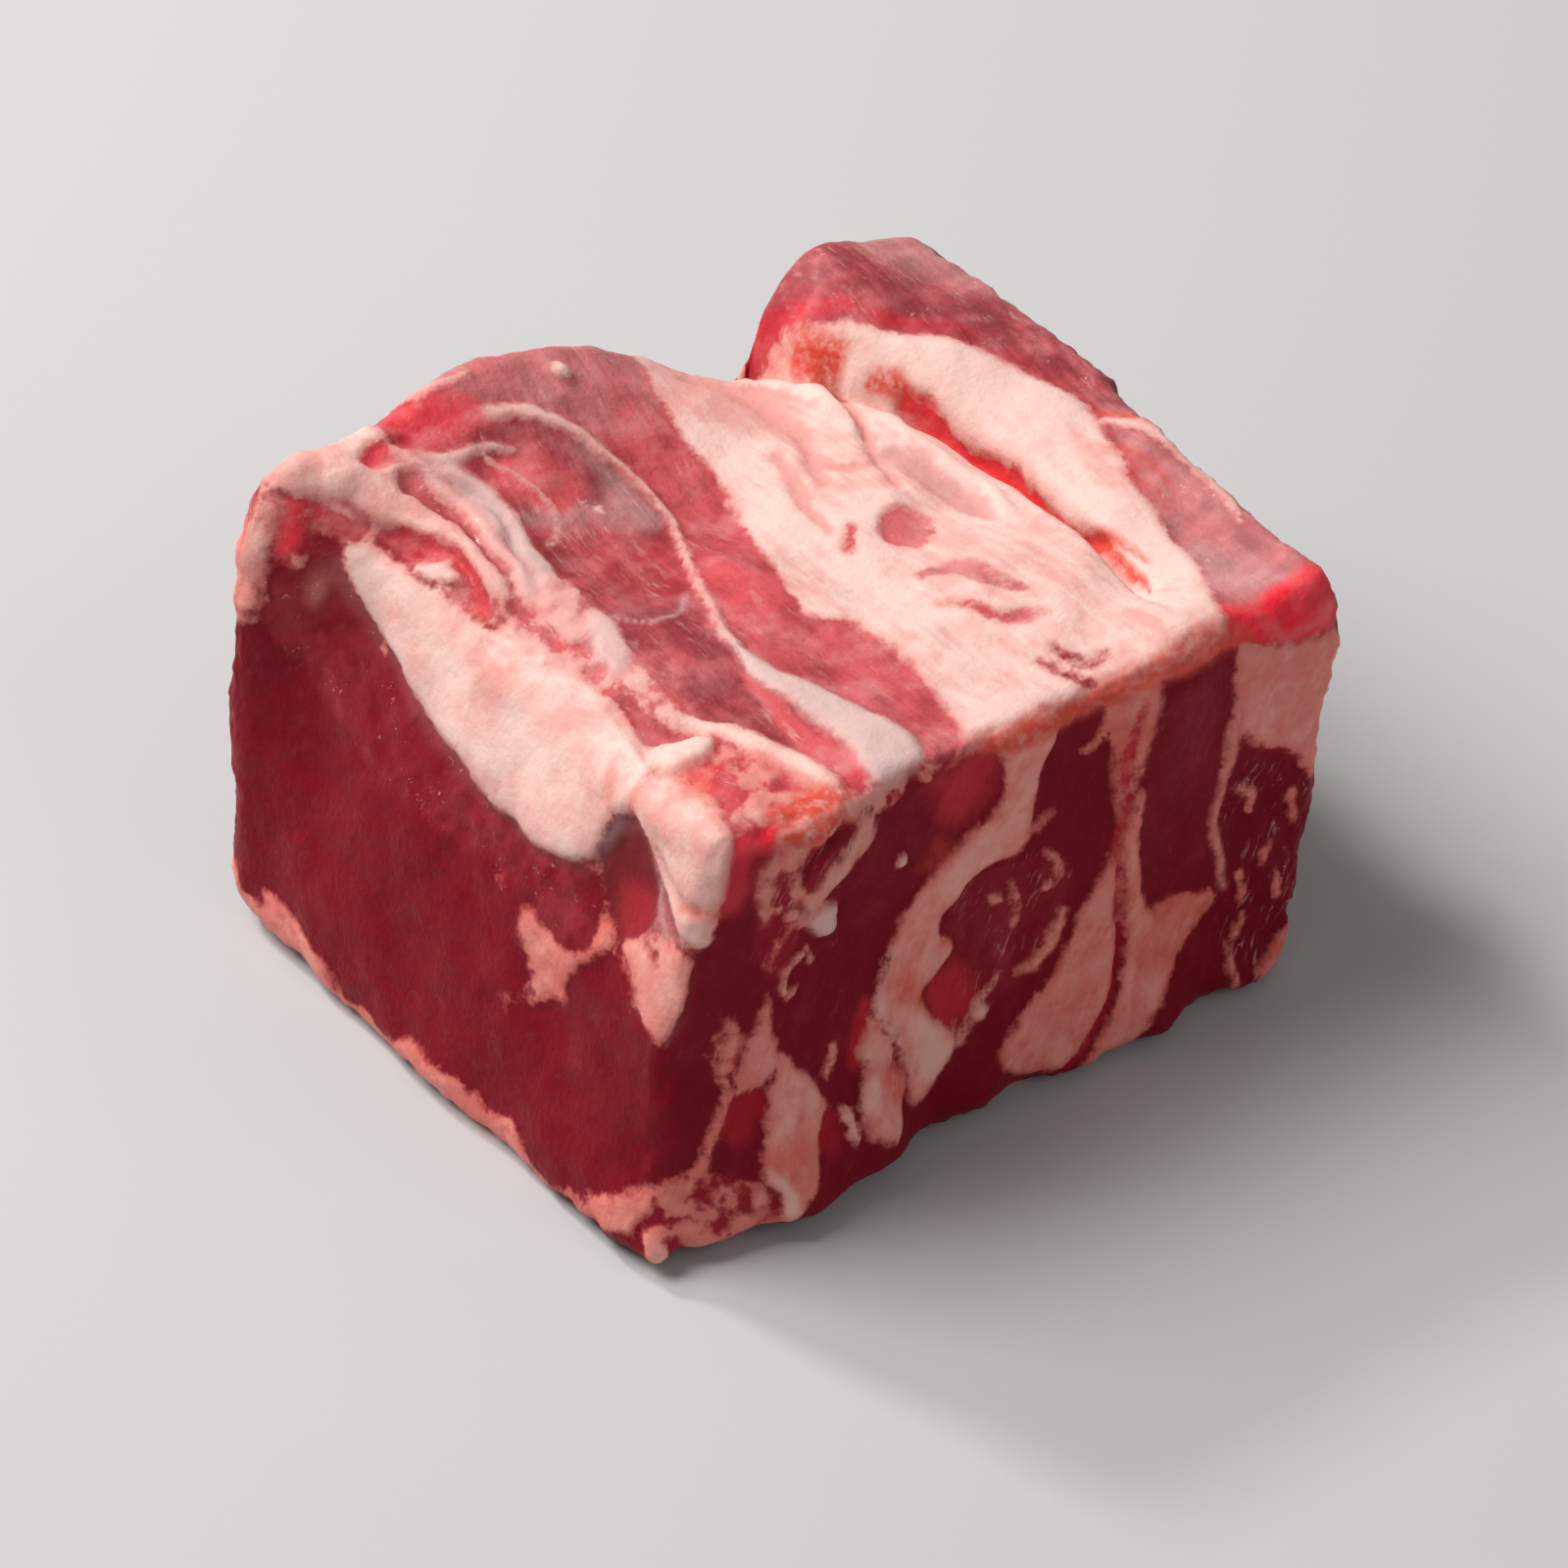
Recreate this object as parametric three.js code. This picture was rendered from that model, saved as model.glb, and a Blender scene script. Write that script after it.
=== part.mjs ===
// A raw boneless meat chunk, cut square across layers of lean and fat, with a fat rind on its left side.
// Millimetres, +Z up. It stands on its flat underside, and the origin is the middle of its box, at the base.
import * as THREE from 'three';

// The block: its eight corners before rounding. The left side leans in towards its top.
const CORNERS = [
  { side: [-1, -1, -1], at: [-36.5, -26.5, 0] },
  { side: [1, -1, -1], at: [37.5, -28, 0] },
  { side: [-1, 1, -1], at: [-38, 35, 0] },
  { side: [1, 1, -1], at: [41, 36, 0] },
  { side: [-1, -1, 1], at: [-24.5, -27, 43.6] },
  { side: [1, -1, 1], at: [41.5, -27.5, 40] },
  { side: [-1, 1, 1], at: [-37, 38.5, 43.5] },
  { side: [1, 1, 1], at: [43.5, 39, 39] },
];
const HALF_SIZE = [38, 33, 22]; // of the plain box that is rounded and then warped to the corners

// The top edge of the left side bows inwards between its two corners, and the side leans in to meet it.
const LEFT_BOW = { depth: 8.2, front: -27, deepest: 21, back: 36, foot: 4, head: 44, fadesAt: 0.45 };

// Edge rounding: a knife edge all over, with softer edges where the surface is not cut.
const KNIFE_RADIUS = 2.2;
const RIND_EXTRA_RADIUS = 3;
const RIND_SOFT_FROM = -0.5; // along the rind, from -1 at the cut front to 1 at the back
const BACK_EXTRA_RADIUS = 2.4;
const BACK_SOFT_FROM = 0.4;
const FOOT_EXTRA_RADIUS = 1.2;

// The crease in the top, from front to back. Right of it lies a raised slab of fat, a loose flap at the back.
const CREASE = [[26, -24], [27.5, -14], [28.5, -6], [28, 3], [26.5, 13], [21, 28], [18.5, 40]];
const CREASE_COLUMN = 0.62; // where the crease runs across the box, from -1 to 1
const COLUMN_SLIDE_FROM = 0.3; // height in the box above which the columns slide to the crease
const CREASE_GROOVE = { depth: 1.8, reach: 0.8, from: -24, to: -12 };
const SLAB_RISE = { front: 0.8, back: 7.8, from: -14, to: 38 };
const SLAB_SLOPE = { front: 3.6, back: 1.6 };
const SLAB_FALL = { share: 0.45, from: 8, to: 18 };

// Low relief on each face: a rounded lump or hollow at a place on it, with its two reaches, turn and height.
const TOP_RELIEF = [
  { at: [-9, 38], reach: [21, 13], turn: 0, height: 8.8 }, // hump behind the left bands
  { at: [12, 38], reach: [9, 9], turn: 0, height: -2.4 }, // it falls towards the notch
  { at: [20, 38], reach: [5.5, 9], turn: 0, height: -6 }, // notch where the crease runs out at the back
  { at: [-34, 37], reach: [7, 7], turn: 0, height: 5 }, // knob of fat on the back left corner
  { at: [14, -10], reach: [17, 8], turn: -60, height: 1.2 }, // the wide fat seam swells
  { at: [27, -24], reach: [9, 6], turn: 0, height: 1.6 }, // front edge rises before the crease
  { at: [4, 4], reach: [22, 3], turn: -72, height: -0.9 }, // lean band sinks beside the wide fat seam
  { at: [-14, 4], reach: [26, 4], turn: -66, height: 0.8 }, // mottled band stands up
  { at: [-26, 10], reach: [20, 3], turn: -68, height: -0.8 }, // hollow beside the rind
  { at: [43, -14], reach: [9, 16], turn: 0, height: 2.2 }, // outer edge of the slab
];
const FRONT_RELIEF = [
  { at: [-19, 0], reach: [15, 15], turn: 0, height: 6 }, // the foot spreads at the left
  { at: [10, 2], reach: [9, 8], turn: 0, height: 1 },
  { at: [20, 0], reach: [9, 6], turn: 0, height: 2.2 },
  { at: [-17, 42], reach: [10, 12], turn: 0, height: 1.6 }, // top edge stands proud at the left
  { at: [16, 24], reach: [20, 5], turn: 62, height: 1 }, // fat band
  { at: [2, 22], reach: [22, 3], turn: 62, height: -1 }, // lean band
  { at: [31, 22], reach: [18, 4], turn: 75, height: -0.8 },
  { at: [-35, 1.5], reach: [2.4, 2.6], turn: 0, height: 2.6 }, // nub of fat at the foot
];
const LEFT_RELIEF = [
  { at: [4, 30], reach: [26, 12], turn: -4, height: 2.6 }, // the rind swells
  { at: [30, 30], reach: [7, 12], turn: 0, height: -1.6 }, // lean behind it sinks
  { at: [-18, 32], reach: [6, 5], turn: 20, height: -1.5 }, // lobe of lean sinks under the lip of fat
  { at: [-20, 41.5], reach: [7, 2.6], turn: 0, height: 0.9 }, // lip of fat
];
const BACK_RELIEF = [
  { at: [-20, 22], reach: [16, 14], turn: 0, height: 3 },
  { at: [20, 34], reach: [4.5, 26], turn: 0, height: -4 }, // the notch goes on down the back
  { at: [30, 18], reach: [14, 16], turn: 0, height: 2 },
];
const RIGHT_RELIEF = [
  { at: [-8, 20], reach: [16, 14], turn: 0, height: 2 },
  { at: [22, 22], reach: [12, 14], turn: 0, height: -1.5 },
];

// Slow unevenness of every face, as a height, a wavelength and the depth at which its waves are taken.
const UNEVEN = {
  top: { height: 0.45, length: 17, depth: 0 },
  front: { height: 0.5, length: 13, depth: 0 },
  left: { height: 0.4, length: 15, depth: 0 },
  back: { height: 0.9, length: 16, depth: 7 },
  right: { height: 0.9, length: 16, depth: 5 },
};
const WAVES = [
  { along: [1, 0.37, -0.2], phase: 1.3, share: 1 },
  { along: [-0.31, 0.83, 0.3], phase: 0.4, share: 1 },
  { along: [0.45, -0.5, 0.9], phase: 2.1, share: 1 },
  { along: [1.02, -1.36, 0.85], phase: 5, share: 0.6 },
];
const WAVES_FULL = 2.4; // the sum of the waves that counts as the full height
const FRONT_EVEN_BELOW = 6; // the front's unevenness fades out towards the foot, where the scallops are
const SCALLOP = { height: 0.8, length: 10.1, phase: 1, top: 7 };

// Grid columns along x, y and z, gathered at the rounded edges and at the crease.
const GRID = [33, 28, 17];
const EDGE_GATHER = { strength: 2, reach: 0.09 };
const CREASE_GATHER = { strength: 2.6, reach: 0.06 };
const GATHER_STEPS = 400;

const MEAT = new THREE.MeshStandardMaterial({ color: 0xb4565a, roughness: 0.35, metalness: 0 });

// From 0 at a to 1 at b, with a smooth start and end. b may be less than a.
function smooth(a, b, x) {
  const t = THREE.MathUtils.clamp((x - a) / (b - a), 0, 1);
  return t * t * (3 - 2 * t);
}

// Sum of a face's lumps and hollows at the place (a, b) on it.
function relief(lumps, a, b) {
  let height = 0;
  for (const lump of lumps) {
    const turn = THREE.MathUtils.degToRad(lump.turn);
    const [da, db] = [a - lump.at[0], b - lump.at[1]];
    const along = (da * Math.cos(turn) + db * Math.sin(turn)) / lump.reach[0];
    const across = (db * Math.cos(turn) - da * Math.sin(turn)) / lump.reach[1];
    height += lump.height * Math.exp(-(along * along + across * across));
  }
  return height;
}

// Unevenness of a face at a place on it: crossed waves through space, cut at a fixed depth in the face.
function uneven({ height, length, depth }, ...place) {
  const point = place.map((t) => (t === null ? depth : t));
  const sum = WAVES.reduce((total, { along, phase, share }) => {
    const distance = along.reduce((d, part, axis) => d + part * point[axis], 0);
    return total + share * Math.sin((2 * Math.PI * distance) / length + phase);
  }, 0);
  return (height * sum) / WAVES_FULL;
}

// x of the crease at y, on straight lines between its points.
function creaseX(y) {
  const [first, last] = [CREASE[0], CREASE[CREASE.length - 1]];
  if (y <= first[1]) return first[0];
  for (let i = 1; i < CREASE.length; i++) {
    const [[xa, ya], [xb, yb]] = [CREASE[i - 1], CREASE[i]];
    if (y <= yb) return xa + ((xb - xa) * (y - ya)) / (yb - ya);
  }
  return last[0];
}

// How far the left side's top edge stands in at y: a quarter wave up to the deepest place, and one back.
function bowDepth(y) {
  const { depth, front, deepest, back } = LEFT_BOW;
  const end = y < deepest ? front : back;
  return depth * Math.cos((Math.PI / 2) * THREE.MathUtils.clamp((y - deepest) / (end - deepest), 0, 1));
}

// Height that the crease and the slab add to the top: a groove, then a rounded slope up to the slab.
function slabHeight(x, y) {
  const across = x - creaseX(y);
  const backness = smooth(SLAB_RISE.from, SLAB_RISE.to, y);
  const rise = THREE.MathUtils.lerp(SLAB_RISE.front, SLAB_RISE.back, backness);
  const slope = THREE.MathUtils.lerp(SLAB_SLOPE.front, SLAB_SLOPE.back, backness);
  const fall = 1 - SLAB_FALL.share * smooth(SLAB_FALL.from, SLAB_FALL.to, across) * backness;
  const groove = CREASE_GROOVE.depth * Math.exp(-((across / CREASE_GROOVE.reach) ** 2))
    * smooth(CREASE_GROOVE.from, CREASE_GROOVE.to, y);
  return rise * (1 - Math.exp(-Math.max(across, 0) / slope)) * fall - groove;
}

// Edge radius at a place on the box, each coordinate from -1 to 1.
function edgeRadius(u, v, w) {
  const [left, back, top] = [smooth(0, -1, u), smooth(BACK_SOFT_FROM, 1, v), smooth(0, 1, w)];
  return KNIFE_RADIUS
    + RIND_EXTRA_RADIUS * left * top * smooth(-1, RIND_SOFT_FROM, v)
    + BACK_EXTRA_RADIUS * back
    + FOOT_EXTRA_RADIUS * (1 - back) * smooth(0, -1, w);
}

// Rounds the box: the point is drawn to a ball that rolls inside the box's edges. Gives its place and normal.
function rounded(q) {
  const radius = edgeRadius(...q);
  const inner = q.map((t, i) => {
    const limit = HALF_SIZE[i] - radius;
    return THREE.MathUtils.clamp(t * HALF_SIZE[i], -limit, limit);
  });
  const normal = new THREE.Vector3(...q.map((t, i) => t * HALF_SIZE[i] - inner[i])).normalize();
  const place = inner.map((t, i) => (t + radius * normal.getComponent(i)) / HALF_SIZE[i]);
  return { place, normal };
}

// Blends the eight corners, each by its share at the place (u, v, w).
function warped(u, v, w) {
  const point = new THREE.Vector3();
  for (const { side, at } of CORNERS) {
    const share = [u, v, w].reduce((product, t, i) => product * (1 + side[i] * t) * 0.5, 1);
    point.addScaledVector(new THREE.Vector3(...at), share);
  }
  return point;
}

// The meat's surface at a point of the box's surface, each coordinate from -1 to 1.
function surfacePoint(q) {
  const { place: [u, v, w], normal } = rounded(q);
  const point = warped(u, v, w);
  // the columns of the grid slide sideways so that one of them follows the crease
  const column = warped(CREASE_COLUMN, v, w);
  const nearness = u < CREASE_COLUMN ? (u + 1) / (CREASE_COLUMN + 1) : (1 - u) / (1 - CREASE_COLUMN);
  point.x += (creaseX(column.y) - column.x) * smooth(0, 1, nearness) * smooth(COLUMN_SLIDE_FROM, 1, w);
  // the left side leans in to its bowed top edge
  const lean = smooth(LEFT_BOW.foot, LEFT_BOW.head, point.z) * smooth(LEFT_BOW.fadesAt, -1, u);
  point.x += bowDepth(point.y) * lean;

  const { x, y, z } = point;
  const scallop = SCALLOP.height * Math.sin((2 * Math.PI * x) / SCALLOP.length + SCALLOP.phase);
  const top = relief(TOP_RELIEF, x, y) + slabHeight(x, y) + uneven(UNEVEN.top, x, y, null);
  const front = relief(FRONT_RELIEF, x, z) + uneven(UNEVEN.front, x, null, z) * smooth(0, FRONT_EVEN_BELOW, z)
    + scallop * smooth(SCALLOP.top, 0, z);
  const left = relief(LEFT_RELIEF, y, z) + uneven(UNEVEN.left, null, y, z);
  const back = relief(BACK_RELIEF, x, z) + uneven(UNEVEN.back, x, null, z);
  const right = relief(RIGHT_RELIEF, y, z) + uneven(UNEVEN.right, null, y, z);
  point.x += right * Math.max(normal.x, 0) - left * Math.max(-normal.x, 0);
  point.y += back * Math.max(normal.y, 0) - front * Math.max(-normal.y, 0);
  point.z = Math.max(z + top * Math.max(normal.z, 0), 0);
  return point;
}

// Places from -1 to 1, closer together where they are gathered.
function places(count, gathers) {
  const sums = [0];
  for (let i = 0; i < GATHER_STEPS; i++) {
    const t = -1 + (2 * i + 1) / GATHER_STEPS;
    const density = gathers.reduce((sum, { at, strength, reach }) => {
      return sum + strength * Math.exp(-(((t - at) / reach) ** 2));
    }, 1);
    sums.push(sums[i] + density);
  }
  const list = [];
  let step = 0;
  for (let k = 0; k <= count; k++) {
    const wanted = (sums[GATHER_STEPS] * k) / count;
    while (step < GATHER_STEPS - 1 && sums[step + 1] < wanted) step++;
    const part = (wanted - sums[step]) / (sums[step + 1] - sums[step]);
    list.push(-1 + (2 * (step + part)) / GATHER_STEPS);
  }
  return list;
}

// One closed grid over the six sides of the box, with shared points along its edges.
function meatGeometry() {
  const edges = [-1, 1].map((at) => ({ at, ...EDGE_GATHER }));
  const columns = GRID.map((count, axis) => {
    const gathers = axis === 0 ? [...edges, { at: CREASE_COLUMN, ...CREASE_GATHER }] : edges;
    return places(count, gathers);
  });
  const positions = [];
  const indices = [];
  const known = new Map();
  const pointAt = (cell) => {
    const key = cell.join();
    if (!known.has(key)) {
      known.set(key, positions.length / 3);
      positions.push(...surfacePoint(cell.map((step, axis) => columns[axis][step])).toArray());
    }
    return known.get(key);
  };
  for (let axis = 0; axis < 3; axis++) {
    const [second, third] = [(axis + 1) % 3, (axis + 2) % 3];
    for (const end of [0, GRID[axis]]) {
      for (let i = 0; i < GRID[second]; i++) {
        for (let j = 0; j < GRID[third]; j++) {
          const corner = (di, dj) => {
            const cell = [0, 0, 0];
            cell[axis] = end;
            cell[second] = i + di;
            cell[third] = j + dj;
            return pointAt(cell);
          };
          const quad = [corner(0, 0), corner(1, 0), corner(1, 1), corner(0, 1)];
          if (end === 0) quad.reverse();
          indices.push(quad[0], quad[1], quad[2], quad[0], quad[2], quad[3]);
        }
      }
    }
  }
  const geometry = new THREE.BufferGeometry();
  geometry.setAttribute('position', new THREE.Float32BufferAttribute(positions, 3));
  geometry.setIndex(indices);
  return geometry;
}

// Moves the geometry so that the origin is the bottom centre of its box.
function stoodOnOrigin(geometry) {
  geometry.computeBoundingBox();
  const box = geometry.boundingBox;
  const middle = box.getCenter(new THREE.Vector3());
  return geometry.translate(-middle.x, -middle.y, -box.min.z);
}

const meat = new THREE.Mesh(stoodOnOrigin(meatGeometry()), MEAT);
meat.name = 'meat_chunk';

const group = new THREE.Group();
group.add(meat);

export default group;
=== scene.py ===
"""Dresses the raw meat chunk: its fine surface, its lean and fat, the floor, the lights and the camera."""

from __future__ import annotations

import itertools
import logging
import math
from dataclasses import dataclass
from enum import Enum

import bpy
import numpy as np
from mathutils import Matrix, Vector


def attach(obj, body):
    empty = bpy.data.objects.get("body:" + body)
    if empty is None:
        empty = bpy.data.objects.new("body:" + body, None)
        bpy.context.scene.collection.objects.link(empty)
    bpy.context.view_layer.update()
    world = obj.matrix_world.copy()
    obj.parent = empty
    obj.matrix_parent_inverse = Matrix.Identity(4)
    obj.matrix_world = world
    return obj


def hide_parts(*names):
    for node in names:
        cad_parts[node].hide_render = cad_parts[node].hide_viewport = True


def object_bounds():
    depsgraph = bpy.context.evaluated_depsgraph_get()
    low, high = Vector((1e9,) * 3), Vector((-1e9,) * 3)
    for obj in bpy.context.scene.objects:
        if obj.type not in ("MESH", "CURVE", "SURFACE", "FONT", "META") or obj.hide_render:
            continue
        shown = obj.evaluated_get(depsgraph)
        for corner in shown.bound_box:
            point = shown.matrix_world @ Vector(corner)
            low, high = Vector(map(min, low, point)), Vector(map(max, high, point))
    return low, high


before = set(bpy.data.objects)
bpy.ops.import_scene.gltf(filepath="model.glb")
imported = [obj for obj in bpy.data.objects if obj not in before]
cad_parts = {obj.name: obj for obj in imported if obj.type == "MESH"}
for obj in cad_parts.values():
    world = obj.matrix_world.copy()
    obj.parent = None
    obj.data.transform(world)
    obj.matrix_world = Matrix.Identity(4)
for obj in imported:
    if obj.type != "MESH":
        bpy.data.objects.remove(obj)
CAD_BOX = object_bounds()
LOG = logging.getLogger("meat")

MM = 0.001
TINY = 1e-9
Points = tuple[tuple[float, float], ...]
Colour = tuple[float, float, float]
Span = tuple[float, float]
Step = tuple[float, float, float, float]


def smooth(start: float, end: float, value: np.ndarray) -> np.ndarray:
    """Rises from 0 at start to 1 at end, with a gentle beginning and end (3t² − 2t³).

    Args:
        start: Where the step begins.
        end: Where it ends. It may be less than start.
        value: Where it is wanted.

    Returns:
        One number from 0 to 1 for each value.
    """
    part = np.clip((value - start) / (end - start), 0, 1)
    return part * part * (3 - 2 * part)


class SpaceNoise:
    """Smooth random values through space: random slopes on a lattice, blended between eight corners."""

    CORNERS = tuple(itertools.product((0, 1), repeat=3))
    SPREAD = 1.7
    LAYERED_SPREAD = 1.3
    LAYER_SHIFT = 37.1

    def __init__(self, seed: int, size: int = 32) -> None:
        """Draws the slopes.

        Args:
            seed: Of the random draw.
            size: Lattice steps before the pattern repeats.
        """
        slopes = np.random.default_rng(seed).normal(size=(size, size, size, 3))
        self.slopes = slopes / np.linalg.norm(slopes, axis=3, keepdims=True)
        self.size = size

    def at(self, points: np.ndarray, length: float) -> np.ndarray:
        """Values about −1 to 1: each corner's slope times the way from it, weighed by 6t⁵ − 15t⁴ + 10t³.

        Args:
            points: Places in millimetres, one a row.
            length: Lattice step in millimetres.

        Returns:
            One value for each point.
        """
        place = points / length
        cell = np.floor(place).astype(int)
        part = place - cell
        ease = part**3 * (part * (part * 6 - 15) + 10)
        total = np.zeros(len(points))
        for corner in self.CORNERS:
            step = np.array(corner)
            slope = self.slopes[tuple(((cell + step) % self.size).T)]
            share = np.where(step, ease, 1 - ease).prod(1)
            total += share * (slope * (part - step)).sum(1)
        return total * self.SPREAD

    def layered(self, points: np.ndarray, length: float, layers: int = 3, fall: float = 0.55) -> np.ndarray:
        """Sum of ever finer noise: each layer has half the length and a share of the height of the last.

        Args:
            points: Places in millimetres.
            length: Lattice step of the coarsest layer.
            layers: How many there are.
            fall: Height of a layer against the one before it.

        Returns:
            One value for each point, about −1 to 1.
        """
        shares = fall ** np.arange(layers)
        values = [
            share * self.at(points + self.LAYER_SHIFT * k, length / 2**k) for k, share in enumerate(shares)
        ]
        return sum(values) / shares.sum() * self.LAYERED_SPREAD


@dataclass(frozen=True)
class Swell:
    """Unevenness from noise: height and length in millimetres, layers, shift of place, how layers fall."""

    height: float
    length: float
    layers: int = 1
    shift: float = 0.0
    fall: float = 0.55

    def at(self, points: np.ndarray, noise: SpaceNoise) -> np.ndarray:
        """Millimetres at points: the height times the noise, taken at the shifted points.

        Args:
            points: Places in millimetres.
            noise: What it is drawn from.

        Returns:
            One value for each point.
        """
        if self.layers == 1:
            return self.height * noise.at(points + self.shift, self.length)
        return self.height * noise.layered(points + self.shift, self.length, self.layers, self.fall)


def rounded_line(points: Points, closed: bool, steps: int = 4) -> np.ndarray:
    """Carries a smooth line through points (Catmull-Rom: cubic pieces whose slopes follow the neighbours).

    Args:
        points: What it passes through. A point may hold more than two numbers.
        closed: True for a ring.
        steps: Short lines for each piece.

    Returns:
        The points of the smooth line, one a row.
    """
    knots = np.array(points, float)
    if closed:
        knots = np.vstack([knots[-1:], knots, knots[:2]])
    else:
        knots = np.vstack([2 * knots[0] - knots[1], knots, 2 * knots[-1] - knots[-2]])
    before, start, end, after = (knots[i:len(knots) - 3 + i, None] for i in range(4))
    t = (np.arange(steps) / steps)[None, :, None]
    curve = 2 * before - 5 * start + 4 * end - after + t * (3 * (start - end) + after - before)
    pieces = start + 0.5 * t * (end - before + t * curve)
    line = pieces.reshape(-1, knots.shape[1])
    return np.vstack([line, line[:1] if closed else knots[-2:-1]])


def nearest_on(line: np.ndarray, places: np.ndarray) -> tuple[np.ndarray, np.ndarray]:
    """Finds how far places are from a line of short straight pieces, and what the line carries there.

    Args:
        line: Its points, with x and y first.
        places: Where it is asked, x and y.

    Returns:
        The distances, and the line's other numbers at the nearest place.
    """
    start, way = line[:-1, :2], np.diff(line[:, :2], axis=0)
    length = np.maximum((way * way).sum(1), TINY)
    offset = places[:, None] - start
    part = np.clip((offset * way).sum(2) / length, 0, 1)
    far = np.linalg.norm(offset - part[..., None] * way, axis=2)
    best = far.argmin(1)
    rows = np.arange(len(places))
    share = part[rows, best][:, None]
    carried = line[best, 2:] * (1 - share) + line[best + 1, 2:] * share
    return far[rows, best], carried


@dataclass(frozen=True)
class Form:
    """A form drawn on a face. Beyond its margin, its depth is only known to be less than that."""

    MARGIN = 4.0

    def extent(self) -> np.ndarray:
        """Lowest and highest corner of the form."""
        raise NotImplementedError

    def depth_near(self, places: np.ndarray) -> np.ndarray:
        """Millimetres inside the form, negative outside, for places that are near it."""
        raise NotImplementedError

    def depth(self, places: np.ndarray) -> np.ndarray:
        """How deep inside the form each place lies.

        Args:
            places: x and y on the face, in millimetres.

        Returns:
            Millimetres inside, negative outside, and no less than minus the margin.
        """
        low, high = self.extent()
        near = ((places > low - self.MARGIN) & (places < high + self.MARGIN)).all(1)
        depth = np.full(len(places), -self.MARGIN)
        if near.any():
            depth[near] = np.maximum(self.depth_near(places[near]), -self.MARGIN)
        return depth


@dataclass(frozen=True)
class Spot(Form):
    """A round or oval form with its middle, its two reaches and its turn in degrees."""

    at: tuple[float, float]
    reach: tuple[float, float]
    turn: float = 0.0

    def extent(self) -> np.ndarray:
        """Lowest and highest corner of the circle round the oval."""
        return np.array(self.at) + max(self.reach) * np.array([[-1], [1]])

    def depth_near(self, places: np.ndarray) -> np.ndarray:
        """Millimetres inside: the part of the way out from the middle that is left, times the short reach."""
        turn = math.radians(self.turn)
        along = np.array([math.cos(turn), math.sin(turn)])
        across = np.array([-along[1], along[0]])
        offset = places - np.array(self.at)
        out = np.hypot(offset @ along / self.reach[0], offset @ across / self.reach[1])
        return (1 - out) * min(self.reach)


@dataclass(frozen=True)
class Band(Form):
    """A smooth band along points, with one width or one for each point."""

    points: Points
    width: float | tuple[float, ...]

    def extent(self) -> np.ndarray:
        """Lowest and highest corner of the band's middle line, grown by its half width."""
        half = np.max(self.width) / 2
        return np.array([np.min(self.points, axis=0) - half, np.max(self.points, axis=0) + half])

    def depth_near(self, places: np.ndarray) -> np.ndarray:
        """Millimetres inside: half the width at the nearest place of the middle line, less the way to it."""
        widths = np.broadcast_to(self.width, len(self.points))
        line = rounded_line(tuple((*point, width) for point, width in zip(self.points, widths)), closed=False)
        far, carried = nearest_on(line, places)
        return carried[:, 0] / 2 - far


@dataclass(frozen=True)
class Patch(Form):
    """The inside of a smooth ring through points."""

    points: Points

    def extent(self) -> np.ndarray:
        """Lowest and highest corner of the ring's points."""
        return np.array([np.min(self.points, axis=0), np.max(self.points, axis=0)])

    def depth_near(self, places: np.ndarray) -> np.ndarray:
        """Millimetres from the ring, positive where a level line crosses it an odd number of times.

        Args:
            places: x and y on the face, in millimetres.

        Returns:
            One depth for each place.
        """
        ring = rounded_line(self.points, closed=True)
        far, _ = nearest_on(ring, places)
        (xa, ya), (xb, yb) = ring[:-1].T, ring[1:].T
        x, y = places[:, :1], places[:, 1:]
        rise = np.where(yb == ya, TINY, yb - ya)
        crosses = ((ya > y) != (yb > y)) & (x < xa + (y - ya) * (xb - xa) / rise)
        return np.where(crosses.sum(1) % 2 == 1, far, -far)


class Coat(Enum):
    """What a mark lays on the meat. The value is the name of the mesh's attribute that carries it."""

    FAT = "fat"
    SILVER = "silver"
    DEEP = "deep"
    BRIGHT = "bright"
    # Pale flecks: partly fat specks, partly painted glints of wet lean.
    FLECKS_AND_GLINTS = "flecks"
    STAIN = "stain"
    CREAM = "cream"
    # Grey: partly grey tissue, partly painted shade in furrows, slits, hollows, folds and at the rind's foot.
    GREY_AND_SHADE = "grey"
    BLOOD = "blood"
    STREAKS = "streaks"
    MOTTLE = "mottle"
    RELIEF = "relief"


FAT, SILVER, DEEP, BRIGHT = Coat.FAT, Coat.SILVER, Coat.DEEP, Coat.BRIGHT
FLECKS_AND_GLINTS, STAIN, CREAM, GREY_AND_SHADE, RELIEF = Coat.FLECKS_AND_GLINTS, Coat.STAIN, Coat.CREAM, Coat.GREY_AND_SHADE, Coat.RELIEF
BLOOD, MOTTLE, STREAKS = Coat.BLOOD, Coat.MOTTLE, Coat.STREAKS
DEEPEST = 3.0


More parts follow.
